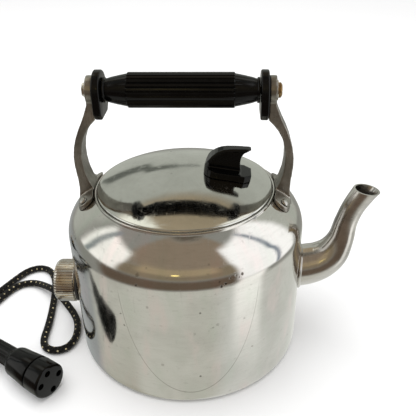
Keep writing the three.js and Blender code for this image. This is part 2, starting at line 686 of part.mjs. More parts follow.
function connectorFront() {
  const cap = turnedAlongX([
    [-15.2, 0], [-15.2, CONNECTOR_RADIUS - 0.4], [-14.8, CONNECTOR_RADIUS], [-1.4, CONNECTOR_RADIUS],
    [-0.4, CONNECTOR_RADIUS - 0.5], [0, CONNECTOR_RADIUS - 1.5], [0, 0],
  ], 32);
  const holes = connectorHoles.map(({ angle }) => {
    const [y, z] = onPinCircle(angle);
    return rodAlongX(-13, 2, 2.7, y, z);
  });
  return solid(asConnector(geometryOf(cut(solid(cap), holes))));
}

function connectorContact({ angle }) {
  const [y, z] = onPinCircle(angle);
  const sleeve = turnedAlongX([[-12.7, 1.9], [-12.7, 2.4], [-5, 2.4], [-5, 1.9]], 14);
  return asConnector(sleeve.translate(0, y, z));
}

function connectorRear() {
  const housing = turnedAlongX([
    [-71.5, 0], [-71.5, 7.4], [-70.5, 8], [-43.5, 8.8], [-42, 10.2], [-40.6, 11.7], [-38.6, 12.3],
    [-34, 12.7], [-16.6, CONNECTOR_RADIUS - 0.2], [-16.2, CONNECTOR_RADIUS - 0.6],
    [-16.2, 10.5], [-15.5, 10.5], [-15.5, 0],
  ], 32);
  const grooves = [];
  for (let i = 0; i < 10; i += 1) {
    const [y, z] = polar(9.3, 36 * i);
    grooves.push(rodAlongX(-69, -44.5, 1.4, y, z, 8));
  }
  const screwHole = turned([[0, -16], [2.9, -16], [2.9, -4.9], [0, -4.9]], 16);
  screwHole.translate(CONNECTOR_SCREW_X, 0, 0);
  return solid(asConnector(geometryOf(cut(solid(housing), [...grooves, screwHole]))));
}

function connectorScrew() {
  const screw = turned([[0, 5.2], [1.5, 5.2], [1.5, 10.2], [2.5, 10.6], [2.5, 12], [0, 12]], 14);
  const slot = new THREE.BoxGeometry(7, 0.8, 1.4).translate(0, 0, 12);
  const slotted = geometryOf(cut(solid(screw), [slot])).rotateX(Math.PI);
  return solid(asConnector(slotted.translate(CONNECTOR_SCREW_X, 0, 0)));
}

// The rubber sleeve that keeps the cord from kinking where it leaves the connector.
function connectorSleeve() {
  return asConnector(turnedAlongX([
    [-98, 0], [-98, 4.2], [-86, 5], [-74, 6.4], [-71.8, 6.6], [-71.8, 0],
  ], 20));
}

function coilTie() {
  const section = (grow) => {
    const inner = COIL_INNER - 2 * GAP - grow;
    const outer = COIL_OUTER + GAP + grow;
    const bottom = COIL_BOTTOM - GAP - grow;
    const top = COIL_TOP + GAP + grow;
    return [[inner, bottom], [outer, bottom], [outer, top], [inner, top]];
  };
  const band = solid(plateAlongY(section(0.9), -4.5, 4.5)).subtract(solid(plateAlongY(section(0.1), -9, 9)));
  return geometryOf(band)
    .rotateZ(THREE.MathUtils.degToRad(215))
    .translate(...COIL_CENTRE, 0);
}

function cordCoil() {
  const chamfer = 3;
  return turned([
    [COIL_INNER + chamfer, COIL_BOTTOM], [COIL_OUTER - chamfer, COIL_BOTTOM],
    [COIL_OUTER, COIL_BOTTOM + chamfer], [COIL_OUTER, COIL_TOP - chamfer],
    [COIL_OUTER - chamfer, COIL_TOP], [COIL_INNER + chamfer, COIL_TOP],
    [COIL_INNER, COIL_TOP - chamfer], [COIL_INNER, COIL_BOTTOM + chamfer],
  ], 28).translate(...COIL_CENTRE, 0);
}

// Moves a piece made about the plug's cord entry, ahead along +X, to where the plug lies.
function asPlug(geometry) {
  return geometry.rotateZ(THREE.MathUtils.degToRad(PLUG_HEADING)).translate(PLUG_ENTRY[0], PLUG_ENTRY[1], 0);
}

const PLUG_SPLIT = 14;
const PLUG_TOP = 25;

// The plug seen from above, narrow at the cord and square-shouldered at the far end.
function plugOutline(inset) {
  const half = 24.5 - inset;
  const far = 74 - inset;
  return smoothOutline([[24.4 + inset, 9 - inset], [31, 15 - inset], [42, 21.5 - inset], [54, half]], 8)
    .concat([[far - 4, half], [far, half - 4], [far, 4 - half], [far - 4, -half]])
    .concat(smoothOutline([[54, -half], [42, inset - 21.5], [31, inset - 15], [24.4 + inset, inset - 9]], 8));
}

const plugPins = [
  { name: "earth", x: 60, y: 0, long: 8, wide: 4, reach: 22.6 },
  { name: "live", x: 38, y: -11, long: 4, wide: 6.4, reach: 17.6 },
  { name: "neutral", x: 38, y: 11, long: 4, wide: 6.4, reach: 17.6 },
];

function plugCover() {
  return joined([
    asPlug(plateAlongZ(plugOutline(0), 2.4, PLUG_SPLIT)),
    asPlug(plateAlongZ(plugOutline(1.6), 0.1, 3)),
  ]);
}

function plugBase() {
  const block = solid(asPlug(plateAlongZ(plugOutline(0), PLUG_SPLIT + GAP, PLUG_TOP)));
  const slots = plugPins.map((pin) => asPlug(
    new THREE.BoxGeometry(pin.long + 0.6, pin.wide + 0.6, 8).translate(pin.x, pin.y, PLUG_TOP + 1),
  ));
  const screwHole = asPlug(turned([[0, 18], [3.6, 18], [3.6, 28], [0, 28]], 16).translate(48, 0, 0));
  return cut(block, [...slots, screwHole]);
}

function plugPin(pin) {
  const bottom = PLUG_TOP - 2.7;
  const top = PLUG_TOP + pin.reach;
  return asPlug(new THREE.BoxGeometry(pin.long, pin.wide, top - bottom)
    .translate(pin.x, pin.y, (top + bottom) / 2));
}

function plugScrew() {
  const screw = solid(turned([[0, 18.3], [3.1, 18.3], [3.1, 22], [2.6, 22.6], [0, 22.6]], 16));
  const slot = new THREE.BoxGeometry(8, 0.9, 1.4).translate(0, 0, 22.6);
  return solid(asPlug(geometryOf(cut(screw, [slot])).translate(48, 0, 0)));
}

function plugSleeve() {
  return asPlug(turnedAlongX([
    [0, 0], [0, 4.2], [10, 5], [20, 6.2], [24.1, 6.4], [24.1, 0],
  ], 20).translate(0, 0, PLUG_ENTRY[2]));
}

// ---- assembly ------------------------------------------------------------------------------------
addPart("body_shell", bodyShell(), polishedAluminium);
addPart("spout", spout(), polishedAluminium);

addPart("lid_shell", lidShell(), polishedAluminium);
addPart("lid_knob", lidKnob(), bakelite);
addPart("lid_knob_screw", lidKnobScrew(), brass);
addPart("lid_knob_washer", lidKnobWasher(), platedBrass);

for (const [name, side] of [["right", 1], ["left", -1]]) {
  addPart(`handle_bracket_${name}`, bracket(side), castAluminium);
  addPart(`handle_guard_${name}`, guard(side), bakelite);
  addPart(`handle_washer_${name}`, handleWasher(side), platedBrass);
}
addPart("handle_grip", grip(), bakelite);
addPart("handle_tie_rod", tieRod(), brass);
addPart("handle_nut", handleNut(), platedBrass);
for (const site of rivetSites) addPart(`rivet_${site.name}`, rivet(site), castAluminium);

addPart("element_head", elementHead(), platedBrass);
addPart("element_tube", elementTube(), elementSheath);
addPart("head_gasket", ringAlongX(-92.1, -90.7, SHROUD_OUTER + GAP, 18.6), rubber);
addPart("outer_gasket", ringAlongX(-98.2, -96.4, SHROUD_OUTER + GAP, 18.4), rubber);
addPart("outer_washer", ringAlongX(-99.1, -98.4, SHROUD_OUTER + GAP, 18), platedBrass);
addPart("inlet_collar", inletCollar(), platedBrass);
addPart("inlet_insulator", inletInsulator(), ceramic);
for (const pin of inletPins) addPart(`inlet_pin_${pin.name}`, inletPin(pin), brass);
addPart("ejector_pin", ejectorPin(), brass);
addPart("ejector_spring", ejectorSpring(), springSteel);

addPart("connector_front", connectorFront(), bakelite);
addPart("connector_rear", connectorRear(), bakelite);
for (const pin of inletPins) addPart(`connector_contact_${pin.name}`, connectorContact(pin), brass);
addPart("connector_screw", connectorScrew(), brass);
addPart("connector_sleeve", connectorSleeve(), rubber);
addPart("cord_tube", tubeAlong(routeCurve(CORD_ROUTE), CORD_RADIUS, 8, 60), braid);
addPart("cord_coil", cordCoil(), braid);
addPart("cord_tail", tubeAlong(routeCurve(TAIL_ROUTE), CORD_RADIUS, 8, 6), braid);
addPart("coil_tie", coilTie(), tape);
addPart("plug_cover", plugCover(), bakelite);
addPart("plug_base", plugBase(), bakelite);
for (const pin of plugPins) addPart(`plug_pin_${pin.name}`, plugPin(pin), brass);
addPart("plug_screw", plugScrew(), brass);
addPart("plug_sleeve", plugSleeve(), rubber);

export default kettle;
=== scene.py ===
"""Looks for a vintage electric kettle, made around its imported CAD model.

Shapes are worked out in millimetres and scaled to metres as each mesh is made.
+X is towards the spout, +Z is up, and the origin is the middle of the flat underside.
"""
import math

import bmesh
import bpy
import numpy as np
from mathutils import Matrix, Vector


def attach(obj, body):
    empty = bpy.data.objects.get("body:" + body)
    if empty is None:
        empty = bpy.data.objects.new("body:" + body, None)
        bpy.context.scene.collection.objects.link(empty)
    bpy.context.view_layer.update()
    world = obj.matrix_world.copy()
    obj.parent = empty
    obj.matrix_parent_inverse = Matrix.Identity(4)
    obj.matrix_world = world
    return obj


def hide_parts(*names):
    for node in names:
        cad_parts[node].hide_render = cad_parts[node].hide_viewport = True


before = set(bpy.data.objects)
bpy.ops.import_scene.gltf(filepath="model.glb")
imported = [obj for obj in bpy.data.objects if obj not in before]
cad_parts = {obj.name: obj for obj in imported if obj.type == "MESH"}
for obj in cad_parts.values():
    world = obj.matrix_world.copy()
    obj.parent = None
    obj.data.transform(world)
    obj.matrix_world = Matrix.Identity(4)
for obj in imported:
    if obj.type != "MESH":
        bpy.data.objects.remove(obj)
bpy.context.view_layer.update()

MM = 0.001

# ---- camera ----
CAMERA_AT = Vector((35.5, -395.4, 357.6))
CAMERA_PAN = -2.48
CAMERA_PITCH = 30.72
CAMERA_ROLL = -0.80
CAMERA_LENS = 48.36


def add_camera():
    """The camera stands in front and above, turned a little to the left and hardly tilted."""
    pan, pitch, roll = (math.radians(a) for a in (CAMERA_PAN, CAMERA_PITCH, CAMERA_ROLL))
    ahead = Vector((math.sin(pan) * math.cos(pitch), math.cos(pan) * math.cos(pitch), -math.sin(pitch)))
    level = Vector((math.cos(pan), -math.sin(pan), 0))
    upright = level.cross(ahead)
    right = math.cos(roll) * level + math.sin(roll) * upright
    up = math.cos(roll) * upright - math.sin(roll) * level
    data = bpy.data.cameras.new("camera")
    data.lens = CAMERA_LENS
    data.clip_start = 0.01
    camera = bpy.data.objects.new("camera", data)
    bpy.context.scene.collection.objects.link(camera)
    turn = Matrix((right, up, -ahead)).transposed().to_4x4()
    camera.matrix_world = Matrix.Translation(CAMERA_AT * MM) @ turn
    bpy.context.scene.camera = camera


add_camera()


# ---- outlines and curves ----
def polar(radius, degrees):
    angle = math.radians(degrees)
    return (radius * math.cos(angle), radius * math.sin(angle))


def arc(cx, cy, radius, start, end, steps):
    points = []
    for i in range(steps + 1):
        x, y = polar(radius, start + (end - start) * i / steps)
        points.append((cx + x, cy + y))
    return points


def eased(t):
    """0 to 1 with a slow start and a slow end."""
    t = min(max(t, 0.0), 1.0)
    return t * t * (3 - 2 * t)


def spans(points):
    """Every four points in a row, with one more point beyond each end."""
    p = np.array(points, float)
    p = np.vstack([2 * p[0] - p[1], p, 2 * p[-1] - p[-2]])
    return [p[i:i + 4] for i in range(len(p) - 3)]


def bspline(points, steps):
    """A cubic B-spline that starts and ends at the first and last of these points."""
    line = []
    for span in spans(points):
        for j in range(steps):
            t = j / steps
            weights = ((1 - t) ** 3, 3 * t**3 - 6 * t**2 + 4, 1 + 3 * t + 3 * t**2 - 3 * t**3, t**3)
            line.append(sum(w * q for w, q in zip(weights, span)) / 6)
    line.append((span[1] + 4 * span[2] + span[3]) / 6)
    return np.array(line)


def catmull_rom(points, steps):
    """A curve through all of these points."""
    line = []
    for a, b, c, d in spans(points):
        for j in range(steps):
            t = j / steps
            line.append(0.5 * (2 * b + (c - a) * t + (2 * a - 5 * b + 4 * c - d) * t**2
                               + (3 * b - a - 3 * c + d) * t**3))
    line.append(c)
    return np.array(line)


def line_length(line):
    return float(np.linalg.norm(np.diff(line, axis=0), axis=1).sum())


def resampled(line, count):
    """The same line as this many points, evenly spaced."""
    gaps = np.linalg.norm(np.diff(line, axis=0), axis=1)
    along = np.concatenate([[0], np.cumsum(gaps)])
    places = np.linspace(0, along[-1], count)
    return np.stack([np.interp(places, along, line[:, k]) for k in range(line.shape[1])], axis=1)


def filleted(outline, radius, steps=3, closed=True):
    """Rounds the corners of an outline, by less where an edge is short."""
    points = [np.array(p, float) for p in outline]
    made = []
    for i, corner in enumerate(points):
        at_end = not closed and i in (0, len(points) - 1)
        before, after = points[i - 1] - corner, points[(i + 1) % len(points)] - corner
        a, b = np.linalg.norm(before), np.linalg.norm(after)
        straight = a < 1e-9 or b < 1e-9 or np.dot(before, after) / (a * b) < -0.96
        if at_end or straight:
            made.append(tuple(corner))
            continue
        cut = min(radius, 0.45 * a, 0.45 * b)
        start, end = corner + before / a * cut, corner + after / b * cut
        for j in range(steps + 1):
            t = j / steps
            made.append(tuple((1 - t) ** 2 * start + 2 * t * (1 - t) * corner + t * t * end))
    return made


# ---- meshes ----
def skin(rings):
    """Quads between equal rings of points. The last ring meets the first, unless both are one point."""
    rings = np.array(rings, float)
    count, around = rings.shape[:2]
    pointed = np.ptp(rings[[0, -1]], axis=1).max() < 1e-6
    faces = []
    for i in range(count - 1 if pointed else count):
        j = (i + 1) % count
        for k in range(around):
            m = (k + 1) % around
            faces.append((i * around + k, i * around + m, j * around + m, j * around + k))
    return rings.reshape(-1, 3), faces


def turned(outline, sides):
    """A (radius, height) outline turned about +Z."""
    angles = [360 * k / sides for k in range(sides)]
    return skin([[(*polar(r, a), h) for a in angles] for r, h in outline])


def ribbed_x(outline, ribs, steps, depth_at, centre=(0, 0)):
    """About +X, with the outline as (x, radius, share of the ribs) and ribs round it."""
    rings = []
    for x, r, share in outline:
        ring = []
        for k in range(ribs * steps):
            y, z = polar(r - share * depth_at((k % steps) / steps), 360 * k / (ribs * steps))
            ring.append((x, centre[0] + y, centre[1] + z))
        rings.append(ring)
    return skin(rings)


def turned_x(outline, sides, centre=(0, 0)):
    """An (x, radius) outline turned about +X."""
    return ribbed_x([(x, r, 0) for x, r in outline], sides, 1, lambda share: 0, centre)


def sweep(line, radius, sides):
    """A round tube along a line of points, its ends closed, with its rings carried along untwisted."""
    ahead = np.gradient(line, axis=0)
    ahead /= np.linalg.norm(ahead, axis=1)[:, None]
    side = np.cross(ahead[0], (0, 0, 1.0))
    side /= np.linalg.norm(side)
    rings = [[line[0]] * sides]
    for point, along in zip(line, ahead):
        side = side - along * side.dot(along)
        side /= np.linalg.norm(side)
        up = np.cross(side, along)
        ring = [polar(radius, 360 * k / sides) for k in range(sides)]
        rings.append([point + u * side + v * up for u, v in ring])
    rings.append([line[-1]] * sides)
    return skin(rings)


def new_object(name, shape, scale=MM):
    """An object from (points, faces), its normals facing out and its doubled points merged."""
    points, faces = shape
    mesh = bpy.data.meshes.new(name)
    mesh.from_pydata([Vector(p) * scale for p in points], [], faces)
    build = bmesh.new()
    build.from_mesh(mesh)
    bmesh.ops.remove_doubles(build, verts=build.verts, dist=1e-7)
    bmesh.ops.dissolve_degenerate(build, edges=build.edges, dist=1e-8)
    bmesh.ops.recalc_face_normals(build, faces=build.faces)
    build.to_mesh(mesh)
    build.free()
    made = bpy.data.objects.new(name, mesh)
    bpy.context.scene.collection.objects.link(made)
    return made


def apply_modifiers(made):
    """Replaces the object's mesh by what its modifiers make of it."""
    bpy.context.view_layer.update()
    evaluated = made.evaluated_get(bpy.context.evaluated_depsgraph_get())
    mesh = bpy.data.meshes.new_from_object(evaluated)
    made.modifiers.clear()
    made.data = mesh


def bored(made, cutters):
    """Cuts these shapes out of the object."""
    tools = [new_object("cutter", cutter) for cutter in cutters]
    for tool in tools:
        step = made.modifiers.new("bore", "BOOLEAN")
        step.operation = "DIFFERENCE"
        step.solver = "EXACT"
        step.object = tool
    apply_modifiers(made)
    for tool in tools:
        bpy.data.objects.remove(tool)
    return made


def finished(made, look, replaces, body="kettle", crease=32):
    """Gives a piece its material, its smooth shading and its body, and hides the CAD nodes that it stands
    for.
    """
    made.data.materials.clear()
    made.data.materials.append(look.material)
    made.data.shade_smooth()
    made.data.set_sharp_from_angle(angle=math.radians(crease))
    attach(made, body)
    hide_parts(*replaces)
    return made


def cad_shape(node):
    """A CAD node's own points and faces, in metres; new_object merges its split points again."""
    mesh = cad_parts[node].data
    return [v.co.copy() for v in mesh.vertices], [tuple(p.vertices) for p in mesh.polygons]


def softened(name, node, look, voxel, passes, body="kettle"):
    """A moulded, cast or woven copy of a CAD node, with every edge rounded."""
    made = new_object(name, cad_shape(node), scale=1)
    remesh = made.modifiers.new("remesh", "REMESH")
    remesh.mode = "VOXEL"
    remesh.voxel_size = voxel * MM
    smooth = made.modifiers.new("smooth", "SMOOTH")
    smooth.factor = 0.5
    smooth.iterations = passes
    apply_modifiers(made)
    return finished(made, look, [node], body, crease=180)


def edged(name, node, bevel):
    """A copy of a CAD node with its edges broken by a small bevel."""
    made = new_object(name, cad_shape(node), scale=1)
    step = made.modifiers.new("bevel", "BEVEL")
    step.width = bevel * MM
    step.segments = 2
    step.limit_method = "ANGLE"
    step.angle_limit = math.radians(35)
    apply_modifiers(made)
    return made


# ---- the flex: its route, coil and tail ----
CORD_RADIUS = 3.15
CORD_STEP = 1.2         # between the rings of its mesh
CORD_ROUTE = [
    (-188.2, -37.8, 14.7), (-191.6, -35.7, 14.6), (-197.2, -30.8, 13.4), (-201.2, -23, 10.6),
    (-202, -13.4, 6.8), (-199, -3, 4), (-192.8, 10, 3.25), (-186.2, 27, 3.25),
    (-180.8, 39, 3.25), (-173.8, 46.2, 3.25), (-165, 48.4, 3.4), (-156.4, 46, 4.4),
    (-148.6, 40.2, 6.6), (-141.6, 34.2, 9.2), (-134.6, 28.4, 10.4), (-126.4, 20.8, 8.9),
    (-117.6, 12.2, 5.4), (-109.4, 2.6, 3.4), (-103.6, -8.4, 3.25), (-100.8, -20.4, 3.25),
    (-100.6, -32, 3.25), (-104.8, -42, 3.25), (-115, -46, 3.25), (-125.2, -42, 3.25),
    (-129.4, -31.6, 3.25), (-129.3, -16, 3.25), (-131.8, 6, 3.25), (-135.2, 27, 3.25),
    (-138.8, 45, 3.25), (-144.4, 60.6, 3.25), (-153, 71.6, 3.25), (-164.8, 74.4, 3.25),
    (-175.4, 67.8, 3.25), (-182, 56, 3.25), (-211.8, -7.3, 3.25),
]
TAIL_ROUTE = [
    (-293.8, 11.8, 9.4), (-293.4, 20, 7.7), (-292.3, 27.8, 8.6), (-290.4, 34.4, 10.9),
    (-287.95, 41, 11.95),
]
COIL_CENTRE = (-256, -12)
COIL_START = -25.9      # degrees round the coil where the cord joins it
COIL_TURNS = 3.428      # clockwise from above, to the side that faces away from the kettle
COIL_WIDE, COIL_NARROW = 37.85, 30.05
COIL_LOW, COIL_HIGH = 4.45, 11.05
COIL_STEPS = 24         # points in each turn


def coil_route():
    """Round outside, in, up on to itself, and out again: two turns wide and two high."""
    points = []
    for i in range(int(COIL_TURNS * COIL_STEPS) + 1):
        turn = i / COIL_STEPS
        inward = eased((turn - 0.83) / 0.17) - eased((turn - 2.54) / 0.2)
        radius = COIL_WIDE + (COIL_NARROW - COIL_WIDE) * inward
        height = COIL_LOW + (COIL_HIGH - COIL_LOW) * eased((turn - 1.66) / 0.18)
        x, y = polar(radius, COIL_START - 360 * turn)
        points.append((COIL_CENTRE[0] + x, COIL_CENTRE[1] + y, height))
    return points


cord_line = bspline(CORD_ROUTE + coil_route() + TAIL_ROUTE, 16)
cord_line = resampled(cord_line, int(line_length(cord_line) / CORD_STEP))


# ---- materials ----
class Nodes:
    """Adds nodes to one tree. Each method returns the socket that its nodes end in."""

    def __init__(self, tree):
        self.tree = tree

    def node(self, kind, inputs=(), out=0, **settings):
        made = self.tree.nodes.new(kind)
        for key, value in settings.items():
            setattr(made, key, value)
        for key, value in dict(inputs).items():
            if isinstance(value, bpy.types.NodeSocket):
                self.tree.links.new(value, made.inputs[key])
            else:
                made.inputs[key].default_value = value
        return made.outputs[out]

    def math(self, operation, *values):
        return self.node("ShaderNodeMath", enumerate(values), operation=operation)

    def times(self, a, b):
        return self.math("MULTIPLY", a, b)

    def plus(self, a, b):
        return self.math("ADD", a, b)

    def minus(self, a, b):
        return self.math("SUBTRACT", a, b)

    def place(self):
        """The point in the kettle's own frame, in metres."""
        return self.node("ShaderNodeTexCoord", out="Object")

    def parts(self, vector):
        split = self.tree.nodes.new("ShaderNodeSeparateXYZ")
        self.tree.links.new(vector, split.inputs[0])
        return split.outputs

    def joined(self, x, y, z):
        return self.node("ShaderNodeCombineXYZ", {0: x, 1: y, 2: z})

    def scaled(self, vector, x, y, z):
        return self.node("ShaderNodeVectorMath", {0: vector, 1: (x, y, z)}, operation="MULTIPLY")

    def noise(self, vector, scale, detail=3.0, roughness=0.5, warp=0.0):
        inputs = {"Vector": vector, "Scale": scale, "Detail": detail, "Roughness": roughness,
                  "Distortion": warp}
        return self.node("ShaderNodeTexNoise", inputs)

    def cells(self, vector, scale):
        return self.node("ShaderNodeTexVoronoi", {"Vector": vector, "Scale": scale}, out="Distance")

    def between(self, value, low, high, to_low=0.0, to_high=1.0):
        """Maps low..high to to_low..to_high, smoothly and no further."""
        inputs = {"Value": value, "From Min": low, "From Max": high, "To Min": to_low, "To Max": to_high}
        return self.node("ShaderNodeMapRange", inputs, interpolation_type="SMOOTHSTEP")

    def tint(self, share, first, second):
        """One colour turning into another as share goes from 0 to 1."""
        made = self.tree.nodes.new("ShaderNodeMix")
        made.data_type = "RGBA"
        for socket, value in zip((made.inputs[0], made.inputs[6], made.inputs[7]), (share, first, second)):
            if isinstance(value, bpy.types.NodeSocket):
                self.tree.links.new(value, socket)
            else:
                socket.default_value = (*value, 1) if len(value) == 3 else value
        return made.outputs[2]

    def bump(self, height, depth, strength=1.0, over=None):
        """Depth is in millimetres."""
        inputs = {"Height": height, "Distance": depth * MM, "Strength": strength}
        if over is not None:
            inputs["Normal"] = over
        return self.node("ShaderNodeBump", inputs)

    def scratches(self, vector, scale, stretch, turn, share):
        """Thin scratches lying one way: turn is in degrees about +Z, and share is how many there are."""
        rolled = self.node("ShaderNodeMapping", {"Vector": vector, "Rotation": turn, "Scale": stretch})
        lines = self.noise(rolled, scale, 1.0)
        return self.between(lines, 0.5 + share, 0.5 + share + 0.05)


class Shader(Nodes):
    """A procedural material and its slot. Numbers that are the same all over it go on its sockets."""

    def __init__(self, name, **values):
        self.slot = name
        self.material = bpy.data.materials.new(name)
        self.material.use_nodes = True
        super().__init__(self.material.node_tree)
        self.surface = self.tree.nodes["Principled BSDF"]
        for socket, value in values.items():
            self.surface.inputs[socket.replace("_", " ")].default_value = value

    def set(self, socket, source):
        self.tree.links.new(source, self.surface.inputs[socket])


WALL_SPAN = 1.676       # millimetres round the wall for each degree
BODY_MIDDLE = 60        # height of the point on the axis that the whole inside of the body faces
# Painted reflection: a thin dark half-ellipse line in the wall's colour, standing in for an edge that the
# polished wall reflects.
PAINTED_REFLECTION_ARC = (-85, 117.5, 32, 105)      # a half ellipse: middle degree and height, half width, depth
# Pits and burns: where round the body and how high, how wide, and how dark.
BODY_MARKS = [
    (-61.6, 118.7, 1.5, 0.9), (-63.2, 117.2, 0.8, 0.7), (-64.5, 119, 0.7, 0.6), (-67.2, 118.2, 0.9, 0.7),
    (-69.4, 114.8, 1.3, 0.9), (-71.2, 113.4, 1.5, 0.9), (-72, 117, 1, 0.5), (-107, 121.2, 2, 0.4),
    (-107.3, 114, 1.3, 0.8), (-103, 96, 1.6, 0.3), (-115.4, 72.6, 1, 0.9), (-116.6, 83, 0.8, 0.5),
    (-60.2, 78, 1.4, 0.3), (-73, 79, 1.9, 0.3), (-75, 77, 1.2, 0.35), (-83, 73, 1.5, 0.25),
    (-98, 41, 1.9, 0.3), (-55.5, 46, 1.6, 0.35), (-150, 122, 1.2, 0.5), (-156, 118, 0.9, 0.6),
    (-141, 96, 1.1, 0.5), (20, 88, 1.6, 0.5), (47, 60, 1.2, 0.5), (98, 92, 1.8, 0.5), (131, 44, 1.3, 0.6),
]


def use_marks_and_painted_reflection(s, tone, x, y, z):
    """Adds a painted reflection (a thin dark half-ellipse line standing in for an edge that the wall
    reflects), pits and long pale stains to its colour.
    """
    round_wall = s.math("DEGREES", s.math("ARCTAN2", y, x))
    along = s.times(round_wall, WALL_SPAN)
    height = s.math("DIVIDE", z, MM)
    stain = s.joined(s.times(along, 0.055), s.times(height, 0.018), 0.0)
    stain = s.noise(stain, 1.0, 3.0)
    tone = s.tint(s.between(stain, 0.5, 0.72, 0.0, 0.6), tone, (0.55, 0.57, 0.52))
    tone = s.tint(s.between(stain, 0.3, 0.48, 0.75, 0.0), tone, (0.68, 0.6, 0.58))
    smudge = s.joined(s.times(along, 0.2), s.times(height, 0.33), 3.0)
    smudge = s.noise(smudge, 1.0, 2.0)
    tone = s.tint(s.between(smudge, 0.62, 0.78, 0.0, 0.3), tone, (0.3, 0.29, 0.27))
    # The painted reflection: a thin dark half ellipse painted into the base colour, fading out towards its
    # top.
    middle, top, half_width, depth = PAINTED_REFLECTION_ARC
    aside = s.math("DIVIDE", s.minus(round_wall, float(middle)), float(half_width))
    below = s.math("DIVIDE", s.minus(float(top), height), float(depth))
    reach = s.math("SQRT", s.plus(s.times(aside, aside), s.times(below, below)))
    line = s.between(s.math("ABSOLUTE", s.minus(reach, 1.0)), 0.002, 0.0065, 0.42, 0.0)
    line = s.times(line, s.between(height, 96.0, 108.0, 1.0, 0.0))
    tone = s.tint(line, tone, (0.13, 0.12, 0.1))
    ragged = s.noise(s.joined(along, height, 0.0), 0.9, 2.0)
    ragged = s.times(s.minus(ragged, 0.5), 2.4)
    here = s.joined(s.plus(along, ragged), s.plus(height, ragged), 0.0)
    dark = 0.0
    for degrees, level, size, share in BODY_MARKS:
        spot = (degrees * WALL_SPAN, level, 0)
        away = s.node("ShaderNodeVectorMath", {0: here, 1: spot}, out="Value", operation="DISTANCE")
        dark = s.math("MAXIMUM", dark, s.between(away, size * 0.35, size, share, 0.0))
    return s.tint(dark, tone, (0.1, 0.085, 0.07)), dark


def facing_in(s, x, y, z):
    """One on the inside of the body and none outside."""
    outward = s.joined(x, y, s.minus(z, BODY_MIDDLE * MM))
    facing = s.node("ShaderNodeTexCoord", out="Normal")
    away = s.node("ShaderNodeVectorMath", {0: facing, 1: outward}, out="Value", operation="DOT_PRODUCT")
    return s.between(away, -2 * MM, 0.0, 1.0, 0.0)


def polished_aluminium(name, light, dull, gloss, turning, dents, marked=False):
    """Spun and hand-polished: fine turning lines, stains, scratches, small pits and soft dents."""
    s = Shader(name, Metallic=1.0)
    at = s.place()
    x, y, z = s.parts(at)
    radius = s.math("SQRT", s.plus(s.times(x, x), s.times(y, y)))
    angle = s.math("ARCTAN2", y, x)
    rings = s.noise(s.joined(radius, z, 0.0), 1500, 2.0)
    broad = s.noise(s.joined(radius, z, s.times(angle, 0.004)), 130, 2.0)
    streaks = s.noise(s.joined(s.times(angle, 3.2), 0.0, s.times(z, 4.0)), 4.0, 3.0)
    stains = s.noise(at, 22, 4.0, 0.6, 0.4)
    clouds = s.noise(at, 7, 2.0)
    ripples = s.noise(at, 42, 1.0)
    brushed = s.noise(s.joined(0.0, s.times(angle, 0.008), z), 620, 3.0, 0.7)
    fine = s.scratches(at, 90, (1, 1, 9), (0.4, 0.3, 0.9), 0.17)
    cross = s.scratches(at, 70, (10, 1, 1), (0.2, 0.5, 0.4), 0.18)
    pits = s.between(s.cells(at, 95), 0.05, 0.11, 1.0, 0.0)
    rare = s.between(s.noise(at, 31, 0.0), 0.62, 0.7)
    pits = s.times(pits, rare)
    tone = s.tint(s.between(stains, 0.38, 0.7), light, dull)
    tone = s.tint(s.between(brushed, 0.45, 0.68, 0.0, 0.13), tone, (0.4, 0.39, 0.36))
    tone = s.tint(s.times(pits, 0.75), tone, (0.09, 0.08, 0.07))
    if marked:
        tone, marks = use_marks_and_painted_reflection(s, tone, x, y, z)
        pits = s.math("MAXIMUM", pits, marks)
    rough = s.between(streaks, 0.3, 0.75, gloss * 0.8, gloss * 1.35)
    rough = s.plus(rough, s.between(stains, 0.45, 0.75, 0.0, 0.05))
    rough = s.plus(rough, s.times(s.plus(fine, cross), 0.08))
    if marked:
        inside = facing_in(s, x, y, z)
        scale = s.times(inside, s.between(stains, 0.4, 0.6, 0.55, 0.85))
        tone = s.tint(scale, tone, (0.5, 0.47, 0.41))
        rough = s.plus(rough, s.times(inside, 0.4))
        s.set("Metallic", s.minus(1.0, scale))
    s.set("Base Color", tone)
    s.set("Roughness", rough)
    normal = s.bump(clouds, dents, 0.6)
    normal = s.bump(ripples, dents * 0.2, 0.5, normal)
    normal = s.bump(broad, turning * 5, 0.5, normal)
    normal = s.bump(rings, turning, 0.5, normal)
    normal = s.bump(s.plus(fine, cross), 0.02, 0.25, normal)
    normal = s.bump(s.minus(1.0, pits), 0.12, 0.5, normal)
    s.set("Normal", normal)
    return s


def cast_aluminium(name, light, dull, rough):
    """Satin casting with a grain that runs up the arm, darker and rougher in broad random patches."""
    s = Shader(name, Metallic=1.0)
    at = s.place()
    grain = s.noise(s.scaled(at, 1500, 1500, 60), 1.0, 2.0)
    sand = s.noise(at, 900, 3.0)
    patches = s.noise(at, 45, 4.0, 0.6, 0.5)
    s.set("Base Color", s.tint(s.between(patches, 0.32, 0.7), light, dull))
    hollows = s.between(patches, 0.4, 0.7, 0.0, 0.1)
    s.set("Roughness", s.plus(s.between(grain, 0.3, 0.7, rough - 0.06, rough + 0.06), hollows))
    normal = s.bump(patches, 0.12, 0.5)
    normal = s.bump(grain, 0.03, 0.6, normal)
    s.set("Normal", s.bump(sand, 0.02, 0.5, normal))
    return s


